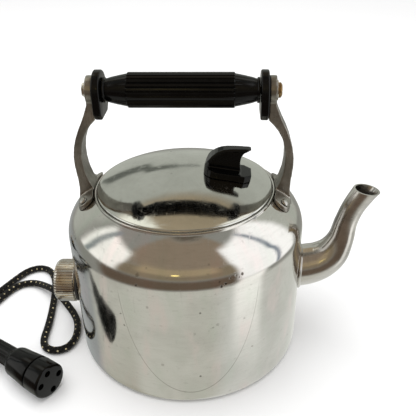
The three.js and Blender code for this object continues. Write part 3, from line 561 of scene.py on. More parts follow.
def worn_metal(name, light, dark, rough, mottle=70, wear=0.5):
    """Brass, plate or steel with tarnish in patches and a hand-worn surface."""
    s = Shader(name, Metallic=1.0)
    at = s.place()
    patches = s.noise(at, mottle, 4.0, 0.6, 0.6)
    sand = s.noise(at, 1300, 2.0)
    lines = s.scratches(at, 260, (1, 7, 1), (0.3, 0.2, 0.5), 0.16)
    s.set("Base Color", s.tint(s.between(patches, wear - 0.14, wear + 0.16), light, dark))
    rough = s.between(patches, 0.35, 0.7, rough, rough + 0.18)
    s.set("Roughness", s.plus(rough, s.times(lines, 0.12)))
    s.set("Normal", s.bump(lines, 0.015, 0.4, s.bump(sand, 0.01, 0.5)))
    return s


def bakelite(name, rough):
    """Glossy moulding, dulled a little by handling, with faint dust and hairline scratches."""
    s = Shader(name, Specular_IOR_Level=0.2)
    at = s.place()
    handling = s.noise(at, 60, 4.0, 0.6, 0.3)
    dust = s.between(s.cells(at, 700), 0.03, 0.09, 1.0, 0.0)
    dust = s.times(dust, s.between(s.noise(at, 180, 2.0), 0.52, 0.66))
    lines = s.scratches(at, 240, (8, 1, 1), (0.1, 0.6, 0.8), 0.17)
    dark = s.tint(s.between(handling, 0.35, 0.7), (0.0007, 0.0008, 0.0009), (0.0018, 0.0018, 0.0017))
    s.set("Base Color", s.tint(s.times(dust, 0.1), dark, (0.16, 0.15, 0.14)))
    rough = s.between(handling, 0.3, 0.75, rough - 0.03, rough + 0.07)
    s.set("Roughness", s.plus(rough, s.times(lines, 0.1)))
    normal = s.bump(s.noise(at, 110, 1.0), 0.05, 0.25)
    s.set("Normal", s.bump(lines, 0.008, 0.3, normal))
    return s


def matt(name, first, second, rough, grain, depth):
    """Rubber, ceramic and other dull mouldings."""
    s = Shader(name)
    at = s.place()
    patches = s.noise(at, grain / 8, 4.0, 0.6)
    pores = s.noise(at, grain, 3.0)
    s.set("Base Color", s.tint(s.between(patches, 0.35, 0.7), first, second))
    s.set("Roughness", s.between(pores, 0.3, 0.7, rough - 0.08, rough + 0.08))
    s.set("Normal", s.bump(pores, depth, 0.6))
    return s


BRAID_PITCH = 6.5       # millimetres between tracer flecks in one row along the cord
BRAID_ROWS = 4          # rows of flecks round the cord
BRAID_PLAITS = 12       # crossing yarns round the cord


def cord_braid(name):
    """Black glazed cotton, plaited, with cream tracer flecks in staggered rows."""
    s = Shader(name, Specular_IOR_Level=0.25, Sheen_Weight=0.04, Sheen_Roughness=0.4)
    along, around, _ = s.parts(s.node("ShaderNodeTexCoord", out="UV"))
    turns = s.times(around, float(BRAID_ROWS))
    row = s.math("FLOOR", turns)
    stagger = s.times(s.math("MODULO", row, 2.0), 0.5)
    place = s.plus(s.math("DIVIDE", along, BRAID_PITCH), stagger)
    drift = s.noise(s.joined(along, row, 0.0), 0.13, 2.0)
    drift = s.times(s.minus(drift, 0.5), 0.5)
    place = s.plus(place, drift)
    u = s.math("ABSOLUTE", s.minus(s.math("FRACT", place), 0.5))
    v = s.math("ABSOLUTE", s.minus(s.math("FRACT", turns), 0.5))
    lean = s.plus(u, s.times(v, 0.35))
    fleck = s.times(s.between(lean, 0.08, 0.15, 1.0, 0.0), s.between(v, 0.1, 0.19, 1.0, 0.0))
    fade = s.between(s.noise(s.joined(along, turns, 0.0), 0.35, 2.0), 0.35, 0.6, 0.15, 1.0)
    fleck = s.times(fleck, fade)
    across = s.times(around, math.tau * BRAID_PLAITS / 2)
    ahead = s.times(along, math.tau / 3.3)
    left = s.math("SINE", s.plus(ahead, across))
    right = s.math("SINE", s.minus(ahead, across))
    plait = s.math("MAXIMUM", left, right)
    lint = s.noise(s.place(), 900, 3.0)
    black = s.tint(s.between(plait, -0.2, 0.9), (0.002, 0.0019, 0.0018), (0.009, 0.0085, 0.008))
    black = s.tint(s.between(lint, 0.62, 0.8, 0.0, 0.35), black, (0.05, 0.045, 0.037))
    s.set("Base Color", s.tint(fleck, black, (0.7, 0.6, 0.36)))
    s.set("Roughness", s.between(lint, 0.3, 0.7, 0.55, 0.8))
    normal = s.bump(plait, 0.35, 0.8)
    s.set("Normal", s.bump(lint, 0.06, 0.5, normal))
    return s


def woven_tape(name):
    """Cotton tape with a plain weave that doesn't depend on how its mesh is laid out."""
    s = Shader(name, Sheen_Weight=0.2)
    at = s.place()
    x, y, z = s.parts(s.scaled(at, 4200, 4200, 4200))
    weave = s.times(s.math("SINE", s.plus(x, y)), s.math("SINE", s.minus(z, y)))
    soil = s.noise(at, 120, 4.0, 0.6)
    s.set("Base Color", s.tint(s.between(soil, 0.35, 0.7), (0.5, 0.42, 0.3), (0.3, 0.24, 0.16)))
    s.set("Roughness", s.between(weave, -1.0, 1.0, 0.95, 0.75))
    s.set("Normal", s.bump(weave, 0.12, 0.8))
    return s


BODY_METAL = polished_aluminium(
    "polished_aluminium", (0.63, 0.62, 0.59), (0.55, 0.54, 0.51), 0.09, 0.009, 0.35, marked=True)
LID_METAL = polished_aluminium("lid_aluminium", (0.58, 0.58, 0.55), (0.51, 0.51, 0.48), 0.085, 0.008, 0.22)
LID_METAL.slot = BODY_METAL.slot        # one metal, polished more on the lid
SPOUT_METAL = polished_aluminium("spout_aluminium", (0.6, 0.58, 0.55), (0.38, 0.37, 0.35), 0.16, 0.008, 0.5)
CAST_METAL = cast_aluminium("cast_aluminium", (0.39, 0.37, 0.335), (0.2, 0.188, 0.165), 0.3)
RIVET_METAL = cast_aluminium("rivet_aluminium", (0.58, 0.57, 0.54), (0.4, 0.39, 0.36), 0.24)
BAKELITE = bakelite("bakelite", 0.12)
BRASS = worn_metal("brass", (0.52, 0.36, 0.15), (0.24, 0.15, 0.07), 0.26)
PLATED_BRASS = worn_metal("plated_brass", (0.6, 0.58, 0.54), (0.4, 0.31, 0.21), 0.06, 60, 0.6)
ELEMENT_SHEATH = worn_metal("element_sheath", (0.4, 0.22, 0.13), (0.5, 0.47, 0.43), 0.45, 90)
SPRING_STEEL = worn_metal("spring_steel", (0.35, 0.35, 0.37), (0.2, 0.19, 0.18), 0.28)
RUBBER = matt("rubber", (0.018, 0.018, 0.018), (0.032, 0.03, 0.028), 0.6, 700, 0.03)
CERAMIC = matt("ceramic", (0.62, 0.56, 0.45), (0.48, 0.42, 0.32), 0.45, 500, 0.03)
CORD_BRAID = cord_braid("cord_braid")
TIE_TAPE = woven_tape("tie_tape")

# ---- body and lid ----
BODY_RADIUS = 96
BODY_WALL = 1.5
BASE_CORNER = 6
WALL_TOP = 111
CORNER_RADIUS = 24
CORNER_TURN = 42
SHOULDER_RADIUS = 75
NECK_RADIUS = 72
BEAD_TOP = 143.8
SEAT_HEIGHT = 141.6
MOUTH_RADIUS = 62.5
LID_RADIUS = 69.9
LID_SKIRT_RADIUS = 61.6
LID_SKIRT_BOTTOM = 133.5
LID_DOME_RADIUS = 215.7
LID_TOP = 156.5
LID_WALL = 1.2
SPOUT_ROOT_HEIGHT = 65.8
SPOUT_HOLE = 15.5
INLET_HEIGHT = 46
INLET_HOLE = 17

corner_centre = (BODY_RADIUS - CORNER_RADIUS, WALL_TOP)
shoulder_centre = (
    corner_centre[0] + (CORNER_RADIUS - SHOULDER_RADIUS) * math.cos(math.radians(CORNER_TURN)),
    corner_centre[1] + (CORNER_RADIUS - SHOULDER_RADIUS) * math.sin(math.radians(CORNER_TURN)),
)


def shoulder_angle(radius, offset=0):
    """Degrees round the shoulder's slow bend at which it has this radius from the kettle's axis."""
    return math.degrees(math.acos((radius - shoulder_centre[0]) / (SHOULDER_RADIUS + offset)))


def shoulder_outline(offset, neck):
    end = shoulder_angle(neck, offset)
    return (arc(*corner_centre, CORNER_RADIUS + offset, 0, CORNER_TURN, 18)
            + arc(*shoulder_centre, SHOULDER_RADIUS + offset, CORNER_TURN, end, 14)[1:])


def wall_outline(radius, steps):
    return [(radius, BASE_CORNER + (WALL_TOP - BASE_CORNER) * i / steps) for i in range(1, steps)]


def make_body():
    base = BODY_RADIUS - BASE_CORNER
    neck = NECK_RADIUS - 0.6
    outside = (
        [(0, 0), (30, 0), (60, 0), (82, 0)]
        + arc(base, BASE_CORNER, BASE_CORNER, -90, 0, 10)
        + wall_outline(BODY_RADIUS, 24)
        + shoulder_outline(0, NECK_RADIUS)
    )
    bead = filleted([
        (NECK_RADIUS, BEAD_TOP - 3), (NECK_RADIUS, BEAD_TOP), (NECK_RADIUS - 1.5, BEAD_TOP),
        (NECK_RADIUS - 1.5, SEAT_HEIGHT), (MOUTH_RADIUS, SEAT_HEIGHT), (MOUTH_RADIUS, 136.5),
        (MOUTH_RADIUS + BODY_WALL, 136.5), (MOUTH_RADIUS + BODY_WALL, SEAT_HEIGHT - BODY_WALL),
        (neck, SEAT_HEIGHT - BODY_WALL),
    ], 0.75, 4, closed=False)
    inside = (
        [(0, BODY_WALL), (45, BODY_WALL), (82, BODY_WALL)]
        + arc(base, BASE_CORNER, BASE_CORNER - BODY_WALL, -90, 0, 8)
        + wall_outline(BODY_RADIUS - BODY_WALL, 12)
        + shoulder_outline(-BODY_WALL, neck)
    )
    body = new_object("body", turned(outside + bead[1:] + inside[::-1], 176))
    bored(body, [
        turned_x([(85, 0), (85, SPOUT_HOLE), (100, SPOUT_HOLE), (100, 0)], 64, (0, SPOUT_ROOT_HEIGHT)),
        turned_x([(-100, 0), (-100, INLET_HOLE), (-85, INLET_HOLE), (-85, 0)], 64, (0, INLET_HEIGHT)),
    ])
    finished(body, BODY_METAL, ["body_shell"])


def dome_height(radius, offset=0.0):
    return LID_TOP - LID_DOME_RADIUS + math.sqrt((LID_DOME_RADIUS + offset) ** 2 - radius**2)


def dome_outline(offset, start, end, steps):
    radii = [start + (end - start) * i / steps for i in range(steps + 1)]
    return [(r, dome_height(r, offset)) for r in radii]


def make_lid():
    rim_under = SEAT_HEIGHT + 0.4
    skirt_inner = LID_SKIRT_RADIUS - LID_WALL
    rim = filleted([
        (LID_RADIUS - 3, dome_height(LID_RADIUS - 3)), (LID_RADIUS, dome_height(LID_RADIUS)),
        (LID_RADIUS, rim_under), (LID_SKIRT_RADIUS, rim_under),
        (LID_SKIRT_RADIUS, LID_SKIRT_BOTTOM), (skirt_inner, LID_SKIRT_BOTTOM),
        (skirt_inner, dome_height(skirt_inner, -LID_WALL)),
    ], 1.1, 6, closed=False)
    outline = dome_outline(0, 0, LID_RADIUS - 3, 30) + rim[1:-1] + dome_outline(-LID_WALL, skirt_inner, 0, 20)
    lid = new_object("lid", turned(outline, 144))
    finished(lid, LID_METAL, ["lid_shell"], "lid")


make_body()
make_lid()

# ---- spout ----
SPOUT_LINE = [
    (92.5, 65.2), (104.5, 67.4), (115.3, 71.9), (124, 80.4), (129.6, 94), (132.2, 110),
    (136.6, 124.5), (143.6, 138), (149, 147),
]
SPOUT_RADII = [18.2, 17.5, 16.2, 14.1, 11, 9.4, 9.1, 9.6, 10.4]
SPOUT_WALL = 1.4
SPOUT_SIDES = 64
FLANGE_RADIUS = 20
FLANGE_THICKNESS = 1.3
SPIGOT_RADIUS = 15
SPIGOT_END = 91
MOUTH_AT = (143, 141)
MOUTH_TILT = 8          # degrees, down towards the lip
WALL_GAP = 0.3


def make_spout():
    """A swan neck drawn as lines from the flange to the lip and back down the bore."""
    line = catmull_rom([(x, z, r) for (x, z), r in zip(SPOUT_LINE, SPOUT_RADII)], 24)
    ahead = np.gradient(line[:, :2], axis=0)
    ahead /= np.linalg.norm(ahead, axis=1)[:, None]
    face = math.radians(MOUTH_TILT)
    lip_normal = np.array([math.sin(face), math.cos(face)])
    outside_wall = BODY_RADIUS + WALL_GAP

    def line_at(degrees, inset):
        """The tube's surface on one side, cut at the mouth; x, y and z down its length."""
        u, v = polar(1, degrees)
        radius = line[:, 2] - inset
        x = line[:, 0] + u * radius * ahead[:, 1]
        z = line[:, 1] - u * radius * ahead[:, 0]
        y = v * radius
        over = (x - MOUTH_AT[0]) * lip_normal[0] + (z - MOUTH_AT[1]) * lip_normal[1]
        end = int(np.argmax(over > 0))
        share = -over[end - 1] / (over[end] - over[end - 1])
        points = np.stack([x, y, z], axis=1)
        return np.vstack([points[:end], points[end - 1] + share * (points[end] - points[end - 1])])

    def from_wall(points, clearance):
        """Drops what lies inside the kettle's wall, and starts just clear of it."""
        out = np.hypot(points[:, 0], points[:, 1]) - (outside_wall + clearance)
        start = int(np.argmax(out > 0))
        share = -out[start - 1] / (out[start] - out[start - 1])
        first = points[start - 1] + share * (points[start] - points[start - 1])
        return np.vstack([first, points[start:]])

    def on_flange(degrees, radius, lift):
        u, v = polar(radius, degrees)
        y, z = v, SPOUT_ROOT_HEIGHT - u
        return np.array([math.sqrt((outside_wall + lift) ** 2 - y * y), y, z])

    def at_spigot(degrees, radius):
        u, v = polar(radius, degrees)
        return np.array([SPIGOT_END, v, SPOUT_ROOT_HEIGHT - u])

    columns = []
    for k in range(SPOUT_SIDES):
        degrees = 360 * k / SPOUT_SIDES
        outer = resampled(from_wall(line_at(degrees, 0), FLANGE_THICKNESS + 1.1), 72)
        inner = resampled(from_wall(line_at(degrees, SPOUT_WALL), 0), 56)[::-1]
        flange = [
            at_spigot(degrees, SPIGOT_RADIUS), on_flange(degrees, SPIGOT_RADIUS, 0),
            on_flange(degrees, FLANGE_RADIUS, 0),
            on_flange(degrees, FLANGE_RADIUS, FLANGE_THICKNESS - 0.4),
            on_flange(degrees, FLANGE_RADIUS - 0.5, FLANGE_THICKNESS),
        ]
        spigot_bore = SPIGOT_RADIUS - SPOUT_WALL
        root = [on_flange(degrees, spigot_bore, 0.2), at_spigot(degrees, spigot_bore)]
        columns.append(np.vstack([flange, outer, inner, root]))
    rings = np.array(columns).transpose(1, 0, 2)
    spout = new_object("spout_neck", skin(rings))
    finished(spout, SPOUT_METAL, ["spout"], crease=40)


make_spout()

# ---- handle ----
GRIP_HEIGHT = 222.9
GRIP_HALF = 39.3
GRIP_RADIUS = 13
GRIP_FLUTES = 24
GRIP_FLUTE_DEPTH = 0.9
GRIP_END = 57.6
GUARD_X = 58
GUARD_THICKNESS = 6
GUARD_RADIUS = 14.8
GUARD_DROP = 19.6
GUARD_EDGE = 1.3
ROD_HOLE = 3
FOOT_RADIUS = 79
FOOT_THICKNESS = 3.4
RIVET_ANGLE = 14.5
RIVET_SITES = {
    "right_front": -RIVET_ANGLE, "right_back": RIVET_ANGLE,
    "left_back": 180 - RIVET_ANGLE, "left_front": 180 + RIVET_ANGLE,
}


def flute_depth(share):
    """How far the barrel is cut back, over one flute and one land."""
    hollow = 0.42
    return GRIP_FLUTE_DEPTH * math.sin(math.pi * share / hollow) ** 0.7 if share < hollow else 0.0


def make_grip():
    """A fluted barrel between two plain cones, each with a small collar by its guard."""
    half = [
        (0, GRIP_RADIUS, 1), (GRIP_HALF - 0.5, GRIP_RADIUS, 1), (GRIP_HALF - 0.1, GRIP_RADIUS - 0.4, 1),
        (GRIP_HALF, 12.2, 0.2), (GRIP_HALF + 0.1, 12.05, 0), (46, 10.75, 0), (52, 9.4, 0),
        (GRIP_END - 2.6, 8.4, 0), (GRIP_END - 2.2, 8.4, 0), (GRIP_END - 1.9, 9.1, 0),
        (GRIP_END - 1.5, 9.4, 0), (GRIP_END - 0.4, 9.4, 0), (GRIP_END, 9, 0), (GRIP_END, ROD_HOLE, 0),
    ]
    outline = [(-x, r, share) for x, r, share in half[:0:-1]] + half
    shape = ribbed_x(outline, GRIP_FLUTES, 10, flute_depth, (0, GRIP_HEIGHT))
    finished(new_object("handle_grip_barrel", shape), BAKELITE, ["handle_grip"], crease=28)


def guard_reach(degrees):
    """From the grip's axis to the guard's edge; 0 is up. Round above, square with cut corners below."""
    sideways, down = abs(math.sin(math.radians(degrees))), -math.cos(math.radians(degrees))
    reach = GUARD_RADIUS
    if down > 0:
        corner = GUARD_DROP + GUARD_RADIUS - 5
        reach = min(GUARD_RADIUS / max(sideways, 1e-6), GUARD_DROP / down, corner / (sideways + down))
    return reach


def make_guard(name, side):
    sides = 96
    rings = []
    thick, edge = GUARD_THICKNESS, GUARD_EDGE
    profile = [(0, None)]
    profile += arc(edge, edge, edge, 180, 270, 5)
    profile += arc(thick - edge, edge, edge, 270, 360, 5)
    profile.append((thick, None))
    for x, inset in profile:
        ring = []
        for k in range(sides):
            degrees = 360 * k / sides
            reach = ROD_HOLE if inset is None else guard_reach(degrees) - inset
            v, u = polar(reach, degrees)
            ring.append((side * (GUARD_X + x), u, GRIP_HEIGHT + v))
        rings.append(ring)
    guard = new_object(f"{name}_disc", skin(rings))
    finished(guard, BAKELITE, [name], crease=40)


def at_rivet(made, degrees):
    """Stands a piece made about +Z, with z = 0 on the shoulder's outside, square to the shoulder."""
    tilt = math.radians(shoulder_angle(FOOT_RADIUS))
    height = shoulder_centre[1] + SHOULDER_RADIUS * math.sin(tilt)
    turn = Matrix.Rotation(math.radians(degrees), 4, "Z")
    lean = Matrix.Rotation(math.radians(90) - tilt, 4, "Y")
    made.data.transform(turn @ Matrix.Translation(Vector((FOOT_RADIUS, 0, height)) * MM) @ lean)


def make_rivets():
    head = FOOT_THICKNESS + 0.5
    outline = [(0, head + 1.9), (1.3, head + 1.75), (2.5, head + 1.2), (3.2, head + 0.5), (3.4, head)]
    outline += [(1.9, head), (1.9, -1.8), (3.2, -1.8), (2.6, -3.4), (0, -3.4)]
    for site, degrees in RIVET_SITES.items():
        rivet = new_object(f"rivet_head_{site}", turned(filleted(outline, 0.25, 2, closed=False), 40))
        at_rivet(rivet, degrees)
        finished(rivet, RIVET_METAL, [f"rivet_{site}"], crease=45)


make_grip()
for hand, side in (("right", 1), ("left", -1)):
    make_guard(f"handle_guard_{hand}", side)
    softened(f"handle_arm_{hand}", f"handle_bracket_{hand}", CAST_METAL, 0.6, 5)
make_rivets()

# ---- inlet ----
COLLAR_RADIUS = 19
COLLAR_RIBS = 44
COLLAR_START = 99.3
COLLAR_END = 117
SHROUD_END = 116.4
SHROUD_OUTER = 16.5
SHROUD_INNER = 15.3
COLLAR_BORE = SHROUD_OUTER + 0.3


def rib_depth(share):
    """Broad flat lands with narrow grooves between them."""
    return 0.5 * eased(1 - 5 * min(share, 1 - share))


def make_collar():
    outline = [
        (-COLLAR_START, COLLAR_BORE, 0), (-COLLAR_START, COLLAR_RADIUS - 1, 0),
        (-COLLAR_START - 0.4, COLLAR_RADIUS - 0.5, 0.5), (-COLLAR_START - 0.9, COLLAR_RADIUS, 1),
        (-COLLAR_END + 3.2, COLLAR_RADIUS - 0.1, 1), (-COLLAR_END + 1.9, COLLAR_RADIUS - 0.5, 0.9),
        (-COLLAR_END + 0.8, COLLAR_RADIUS - 1.1, 0.6), (-COLLAR_END + 0.2, COLLAR_RADIUS - 1.7, 0.2),
        (-COLLAR_END, COLLAR_BORE + 0.3, 0), (-COLLAR_END + 0.3, COLLAR_BORE, 0),
    ]
    collar = new_object("inlet_ring_nut", ribbed_x(outline, COLLAR_RIBS, 12, rib_depth, (0, INLET_HEIGHT)))
    finished(collar, PLATED_BRASS, ["inlet_collar"], crease=40)


def turned_piece(name, node, outline, look):
    """A plain turned part about the inlet's axis, with its corners broken."""
    outline = filleted(outline, 0.3, 3, closed=outline[0][1] > 0)
    finished(new_object(name, turned_x(outline, 96, (0, INLET_HEIGHT))), look, [node])


make_collar()
turned_piece("inlet_head_casting", "element_head", [
    (-87.4, 0), (-87.4, 20.5), (-90.4, 20.5), (-90.4, SHROUD_OUTER), (-SHROUD_END, SHROUD_OUTER),
    (-SHROUD_END, SHROUD_INNER), (-90.4, SHROUD_INNER), (-90.4, 0),
], PLATED_BRASS)
for name, node, x0, x1, r, look in (
    ("gasket_inside", "head_gasket", -92.1, -90.7, 18.6, RUBBER),
    ("gasket_outside", "outer_gasket", -98.2, -96.4, 18.4, RUBBER),
    ("inlet_washer", "outer_washer", -99.1, -98.4, 18, PLATED_BRASS),
):
    turned_piece(name, node, [(x0, COLLAR_BORE), (x0, r), (x1, r), (x1, COLLAR_BORE)], look)


ELEMENT_RADIUS = 3.6
ELEMENT_LOOP = 60       # radius of the loop that lies above the base
ELEMENT_HEIGHT = 20


def make_element():
    """A round loop low in the body, whose ends rise to the head."""
    loop = [(*p, ELEMENT_HEIGHT) for p in arc(2, 0, ELEMENT_LOOP, 205, 515, 14)]

    def leg(side):
        return [(-87, side * 8, 42), (-81, side * 8, 41.6), (-74, side * 10.5, 36), (-66, side * 16, 25.6)]

    line = catmull_rom(leg(-1) + loop + leg(1)[::-1], 8)
    tube = new_object("element_loop", sweep(resampled(line, 240), ELEMENT_RADIUS, 24))
    finished(tube, ELEMENT_SHEATH, ["element_tube"], crease=60)


make_element()

# ---- small parts that keep their CAD shape, with broken edges ----
SMALL_PARTS = [
    (BRASS, "kettle", (
        "handle_tie_rod", "inlet_pin_earth", "inlet_pin_live", "inlet_pin_neutral",
        "connector_contact_earth", "connector_contact_live", "connector_contact_neutral",
        "connector_screw", "plug_pin_earth", "plug_pin_live", "plug_pin_neutral", "plug_screw",
    )),
    (BRASS, "lid", ("lid_knob_screw",)),
    (BRASS, "ejector", ("ejector_pin",)),
    (PLATED_BRASS, "kettle", ("handle_nut", "handle_washer_right", "handle_washer_left")),
    (PLATED_BRASS, "lid", ("lid_knob_washer",)),
    (CERAMIC, "kettle", ("inlet_insulator",)),
    (SPRING_STEEL, "kettle", ("ejector_spring",)),
]
SMALL_BEVEL = 0.22
for look, body, nodes in SMALL_PARTS:
    for node in nodes:
        finished(edged(f"{node}_bright", node, SMALL_BEVEL), look, [node], body)

# ---- knob ----
softened("lid_knob_crest", "lid_knob", BAKELITE, 0.42, 8, "lid")

# ---- flex: connector, cord, coil tie and plug ----
CONNECTOR_RADIUS = 14.6
CONNECTOR_FACE = (-104.7, -90, 14.7)
CONNECTOR_HEADING = -32
CONNECTOR_SCREW_X = -28
PIN_CIRCLE = 9.3
CONNECTOR_HOLES = (96, 8, 166, -82)
PLUG_ENTRY = (-287.5, 42, 12)
PLUG_HEADING = 72
SLEEVE_RINGS = 7


def laid(made, at, heading):
    """Lays a piece made along +X on the surface, turned to its heading."""
    turn = Matrix.Rotation(math.radians(heading), 4, "Z")
    made.data.transform(Matrix.Translation(Vector(at) * MM) @ turn)
    return made


def neck_groove(share):
    return 0.8 * (0.5 + 0.5 * math.cos(math.tau * share)) ** 1.6


def make_connector():
    """A round moulding in two halves with a groove between them, stepping down to a ridged neck."""
    r = CONNECTOR_RADIUS
    front = new_object("connector_cap", turned_x(filleted([
        (-15.2, 0), (-15.2, r - 0.1), (-1.2, r), (0, r - 1.3), (0, 0),
    ], 0.8, 4, closed=False), 112))
    hole = filleted([(-13, 0), (-13, 2.7), (2, 2.7), (2, 0)], 0.01, 1, closed=False)
    bored(front, [turned_x(hole, 32, polar(PIN_CIRCLE, angle)) for angle in CONNECTOR_HOLES])
    neck = [
        (-71.5, 0, 0), (-71.5, 7.2, 0), (-71.1, 7.7, 0), (-70.3, 8, 0.2), (-68.5, 8.1, 1), (-47, 8.7, 1),
        (-44.6, 8.8, 0.8), (-43.6, 9, 0.2),
    ]
    step = [
        (-42.6, 9.6, 0), (-41.5, 10.8, 0), (-40.4, 11.7, 0), (-39, 12.2, 0), (-37, 12.5, 0), (-30, 13, 0),
    ]
    housing = [
        (-17, r - 0.25, 0), (-16.5, r - 0.4, 0), (-16.2, r - 0.9, 0), (-16.2, 10.5, 0), (-15.5, 10.5, 0),
        (-15.5, 0, 0),
    ]
    rear = new_object("connector_housing", ribbed_x(neck + step + housing, 16, 8, neck_groove))
    points, faces = turned([(0, -16), (2.9, -16), (2.9, -4.9), (0, -4.9)], 32)
    bored(rear, [([(x + CONNECTOR_SCREW_X, y, z) for x, y, z in points], faces)])
    sleeve = new_object("connector_boot", ribbed_sleeve(-98, -71.8, 4.2, 6.6))
    parts = ((front, BAKELITE, "front"), (rear, BAKELITE, "rear"), (sleeve, RUBBER, "sleeve"))
    return [finished(laid(made, CONNECTOR_FACE, CONNECTOR_HEADING), look, [f"connector_{node}"])
            for made, look, node in parts]


def ribbed_sleeve(thin_end, thick_end, thin, thick):
    """A tapered rubber sleeve with shallow rings, closed at both ends."""
    length = thick_end - thin_end
    outline = [(thin_end, 0), (thin_end, thin - 0.5), (thin_end + 0.5, thin)]
    for i in range(SLEEVE_RINGS * 6 + 1):
        share = 0.04 + 0.92 * i / (SLEEVE_RINGS * 6)
        wave = 0.28 * (0.5 - 0.5 * math.cos(math.tau * i / 6))
        outline.append((thin_end + length * share, thin + (thick - thin) * share - wave))
    outline += [(thick_end - 0.4, thick), (thick_end, thick - 0.4), (thick_end, 0)]
    return turned_x(outline, 64)


def make_plug():
    """A two-part moulding with the cord's sleeve at its side."""
    cover = softened("plug_cover_moulding", "plug_cover", BAKELITE, 0.6, 6)
    base = softened("plug_base_moulding", "plug_base", BAKELITE, 0.45, 4)
    boot = laid(new_object("plug_boot", ribbed_sleeve(0, 24.1, 4.2, 6.4)), PLUG_ENTRY, PLUG_HEADING)
    return [cover, base, finished(boot, RUBBER, ["plug_sleeve"])]


def make_cord():
    """One braided flex from the connector's boot, round the coil, to the plug's boot."""
    sides = 20
    cord = new_object("cord", sweep(cord_line, CORD_RADIUS, sides))
    layer = cord.data.uv_layers.new(name="braid")
    steps = np.concatenate([[0], np.cumsum(np.linalg.norm(np.diff(cord_line, axis=0), axis=1))])
    count = len(cord_line)
    for face in cord.data.polygons:
        corners = []
        for loop in face.loop_indices:
            vertex = cord.data.loops[loop].vertex_index
            ring, place = divmod(vertex - 1, sides)
            corners.append((loop, min(max(ring, 0), count - 1), place / sides))
        wraps = max(c[2] for c in corners) - min(c[2] for c in corners) > 0.5
        for loop, ring, place in corners:
            layer.data[loop].uv = (steps[ring], place + 1 if wraps and place < 0.5 else place)
    finished(cord, CORD_BRAID, ["cord_tube", "cord_coil", "cord_tail"], crease=60)


connector = make_connector()
plug = make_plug()
tie = softened("coil_tie_band", "coil_tie", TIE_TAPE, 0.3, 3)
make_cord()

# ---- floor, world and lights ----
FLOOR_SIZE = 6000
FLOOR_HEIGHT = -0.05    # just clear of what stands on it
FLOOR_COLOUR = (0.86, 0.86, 0.86)


def make_floor():
    half = FLOOR_SIZE / 2
    corners = [(x, y, FLOOR_HEIGHT) for x, y in ((-half, -half), (half, -half), (half, half), (-half, half))]
    floor = new_object("floor", (corners, [(0, 1, 2, 3)]))
    paper = Shader("floor_paper", Base_Color=(*FLOOR_COLOUR, 1), Roughness=0.9, Specular_IOR_Level=0.1)
    floor.data.materials.append(paper.material)
    floor.visible_glossy = False


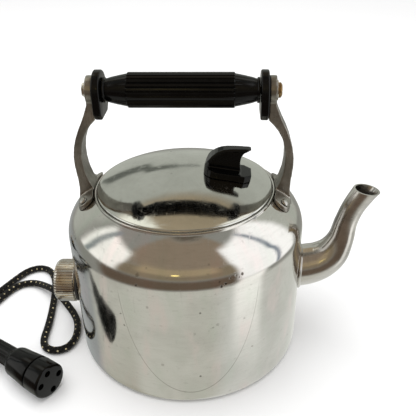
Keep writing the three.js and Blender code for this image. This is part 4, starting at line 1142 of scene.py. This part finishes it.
# What the metal sees, as patches of the room: the first and last degree round from the front (to
# the right is positive), the lowest and highest degree, how soft the edges are, and the colour.
ROOM_TONE = (0.36, 0.36, 0.33)
ROOM_PATCHES = [
    (-200, 200, -100, -32.5, 5.5, (0.73, 0.73, 0.66)),
    (35, 200, -100, -34, 12, (0.84, 0.85, 0.81)),
    (-115, -54, -80, -46, 9, (0.52, 0.51, 0.43)),
    (50, 80, -42, -20, 6, (1.45, 1.45, 1.4)),
    (-155, -106, -70, -12, 8, (0.42, 0.44, 0.44)),
    (-78, 50, -30, 3, 7, (0.17, 0.125, 0.09)),
    (-62, 62, 6, 38, 5, (0.31, 0.25, 0.17)),
    (-66, 66, 38, 80, 6, (0.34, 0.27, 0.2)),
    (-45, 34, 22, 43, 6, (0.48, 0.38, 0.24)),
    (-200, 200, 80, 87, 3, (0.14, 0.12, 0.09)),
    (50, 118, -20, 60, 4, (1.5, 1.5, 1.5)),
    (-108, -62, 4, 46, 4, (1.45, 1.44, 1.38)),
    (-10, -4, 22, 26, 1.2, (2.4, 1.9, 0.7)),
    (91, 96, -20, 60, 2, (0.3, 0.35, 0.42)),
    (-101, -94, 4, 50, 2, (0.34, 0.38, 0.39)),
    (-166, -152, 12.5, 19.5, 1.2, (0.16, 0.17, 0.15)),
    (-173, -163, 18.5, 23, 1, (0.16, 0.17, 0.15)),
    (-179.5, -172, 20, 22, 0.7, (0.2, 0.21, 0.19)),
    (-148, -126, 47, 66, 4, (1.4, 1.4, 1.25)),
    (126, 150, 47, 66, 4, (1.5, 1.5, 1.4)),
]
# The same for what stands behind the kettle: the lowest and highest degree, and the colour.
BACK_TONES = [(-5, 47, (0.6, 0.62, 0.56)), (47, 76, (0.5, 0.41, 0.28))]
PALE_DOME = (0.98, 0.98, 0.98)


def make_world():
    """A plain pale dome that lights everything, with a room of windows and shade for mirrors to see."""
    world = bpy.data.worlds.new("studio")
    world.use_nodes = True
    bpy.context.scene.world = world
    s = Nodes(world.node_tree)
    x, y, z = s.parts(s.node("ShaderNodeTexCoord", out="Generated"))
    around = s.math("DEGREES", s.math("ARCTAN2", x, s.times(y, -1.0)))
    rise = s.math("DEGREES", s.math("ARCSINE", z))

    def within(value, low, high, soft):
        rising = s.between(value, low - soft, low + soft)
        return s.times(rising, s.between(value, high - soft, high + soft, 1.0, 0.0))

    tone = ROOM_TONE
    behind = s.between(s.math("ABSOLUTE", around), 105.0, 125.0)
    for low, high, colour in BACK_TONES:
        tone = s.tint(s.times(behind, within(rise, low, high, 4)), tone, colour)
    for left, right, low, high, soft, colour in ROOM_PATCHES:
        patch = s.times(within(around, left, right, soft), within(rise, low, high, soft))
        tone = s.tint(patch, tone, colour)
    mirrored = s.node("ShaderNodeLightPath", out="Is Glossy Ray")
    background = s.tree.nodes["Background"]
    s.tree.links.new(s.tint(mirrored, PALE_DOME, tone), background.inputs["Color"])


LIGHT_AT = Vector((-250, 50, 1500))
LIGHT_AIM = Vector((-100, 0, 0))
LIGHT_SIZE = 1500
LIGHT_POWER = 15


def add_light():
    """One broad soft light overhead, which gives the pieces their shadows on the floor."""
    data = bpy.data.lights.new("soft_overhead", "AREA")
    data.size = LIGHT_SIZE * MM
    data.energy = LIGHT_POWER
    light = bpy.data.objects.new("soft_overhead", data)
    bpy.context.scene.collection.objects.link(light)
    light.location = LIGHT_AT * MM
    light.rotation_euler = (LIGHT_AT - LIGHT_AIM).to_track_quat("Z", "Y").to_euler()
    light.visible_glossy = False


make_floor()
make_world()
add_light()

bpy.context.scene.view_settings.view_transform = "Standard"
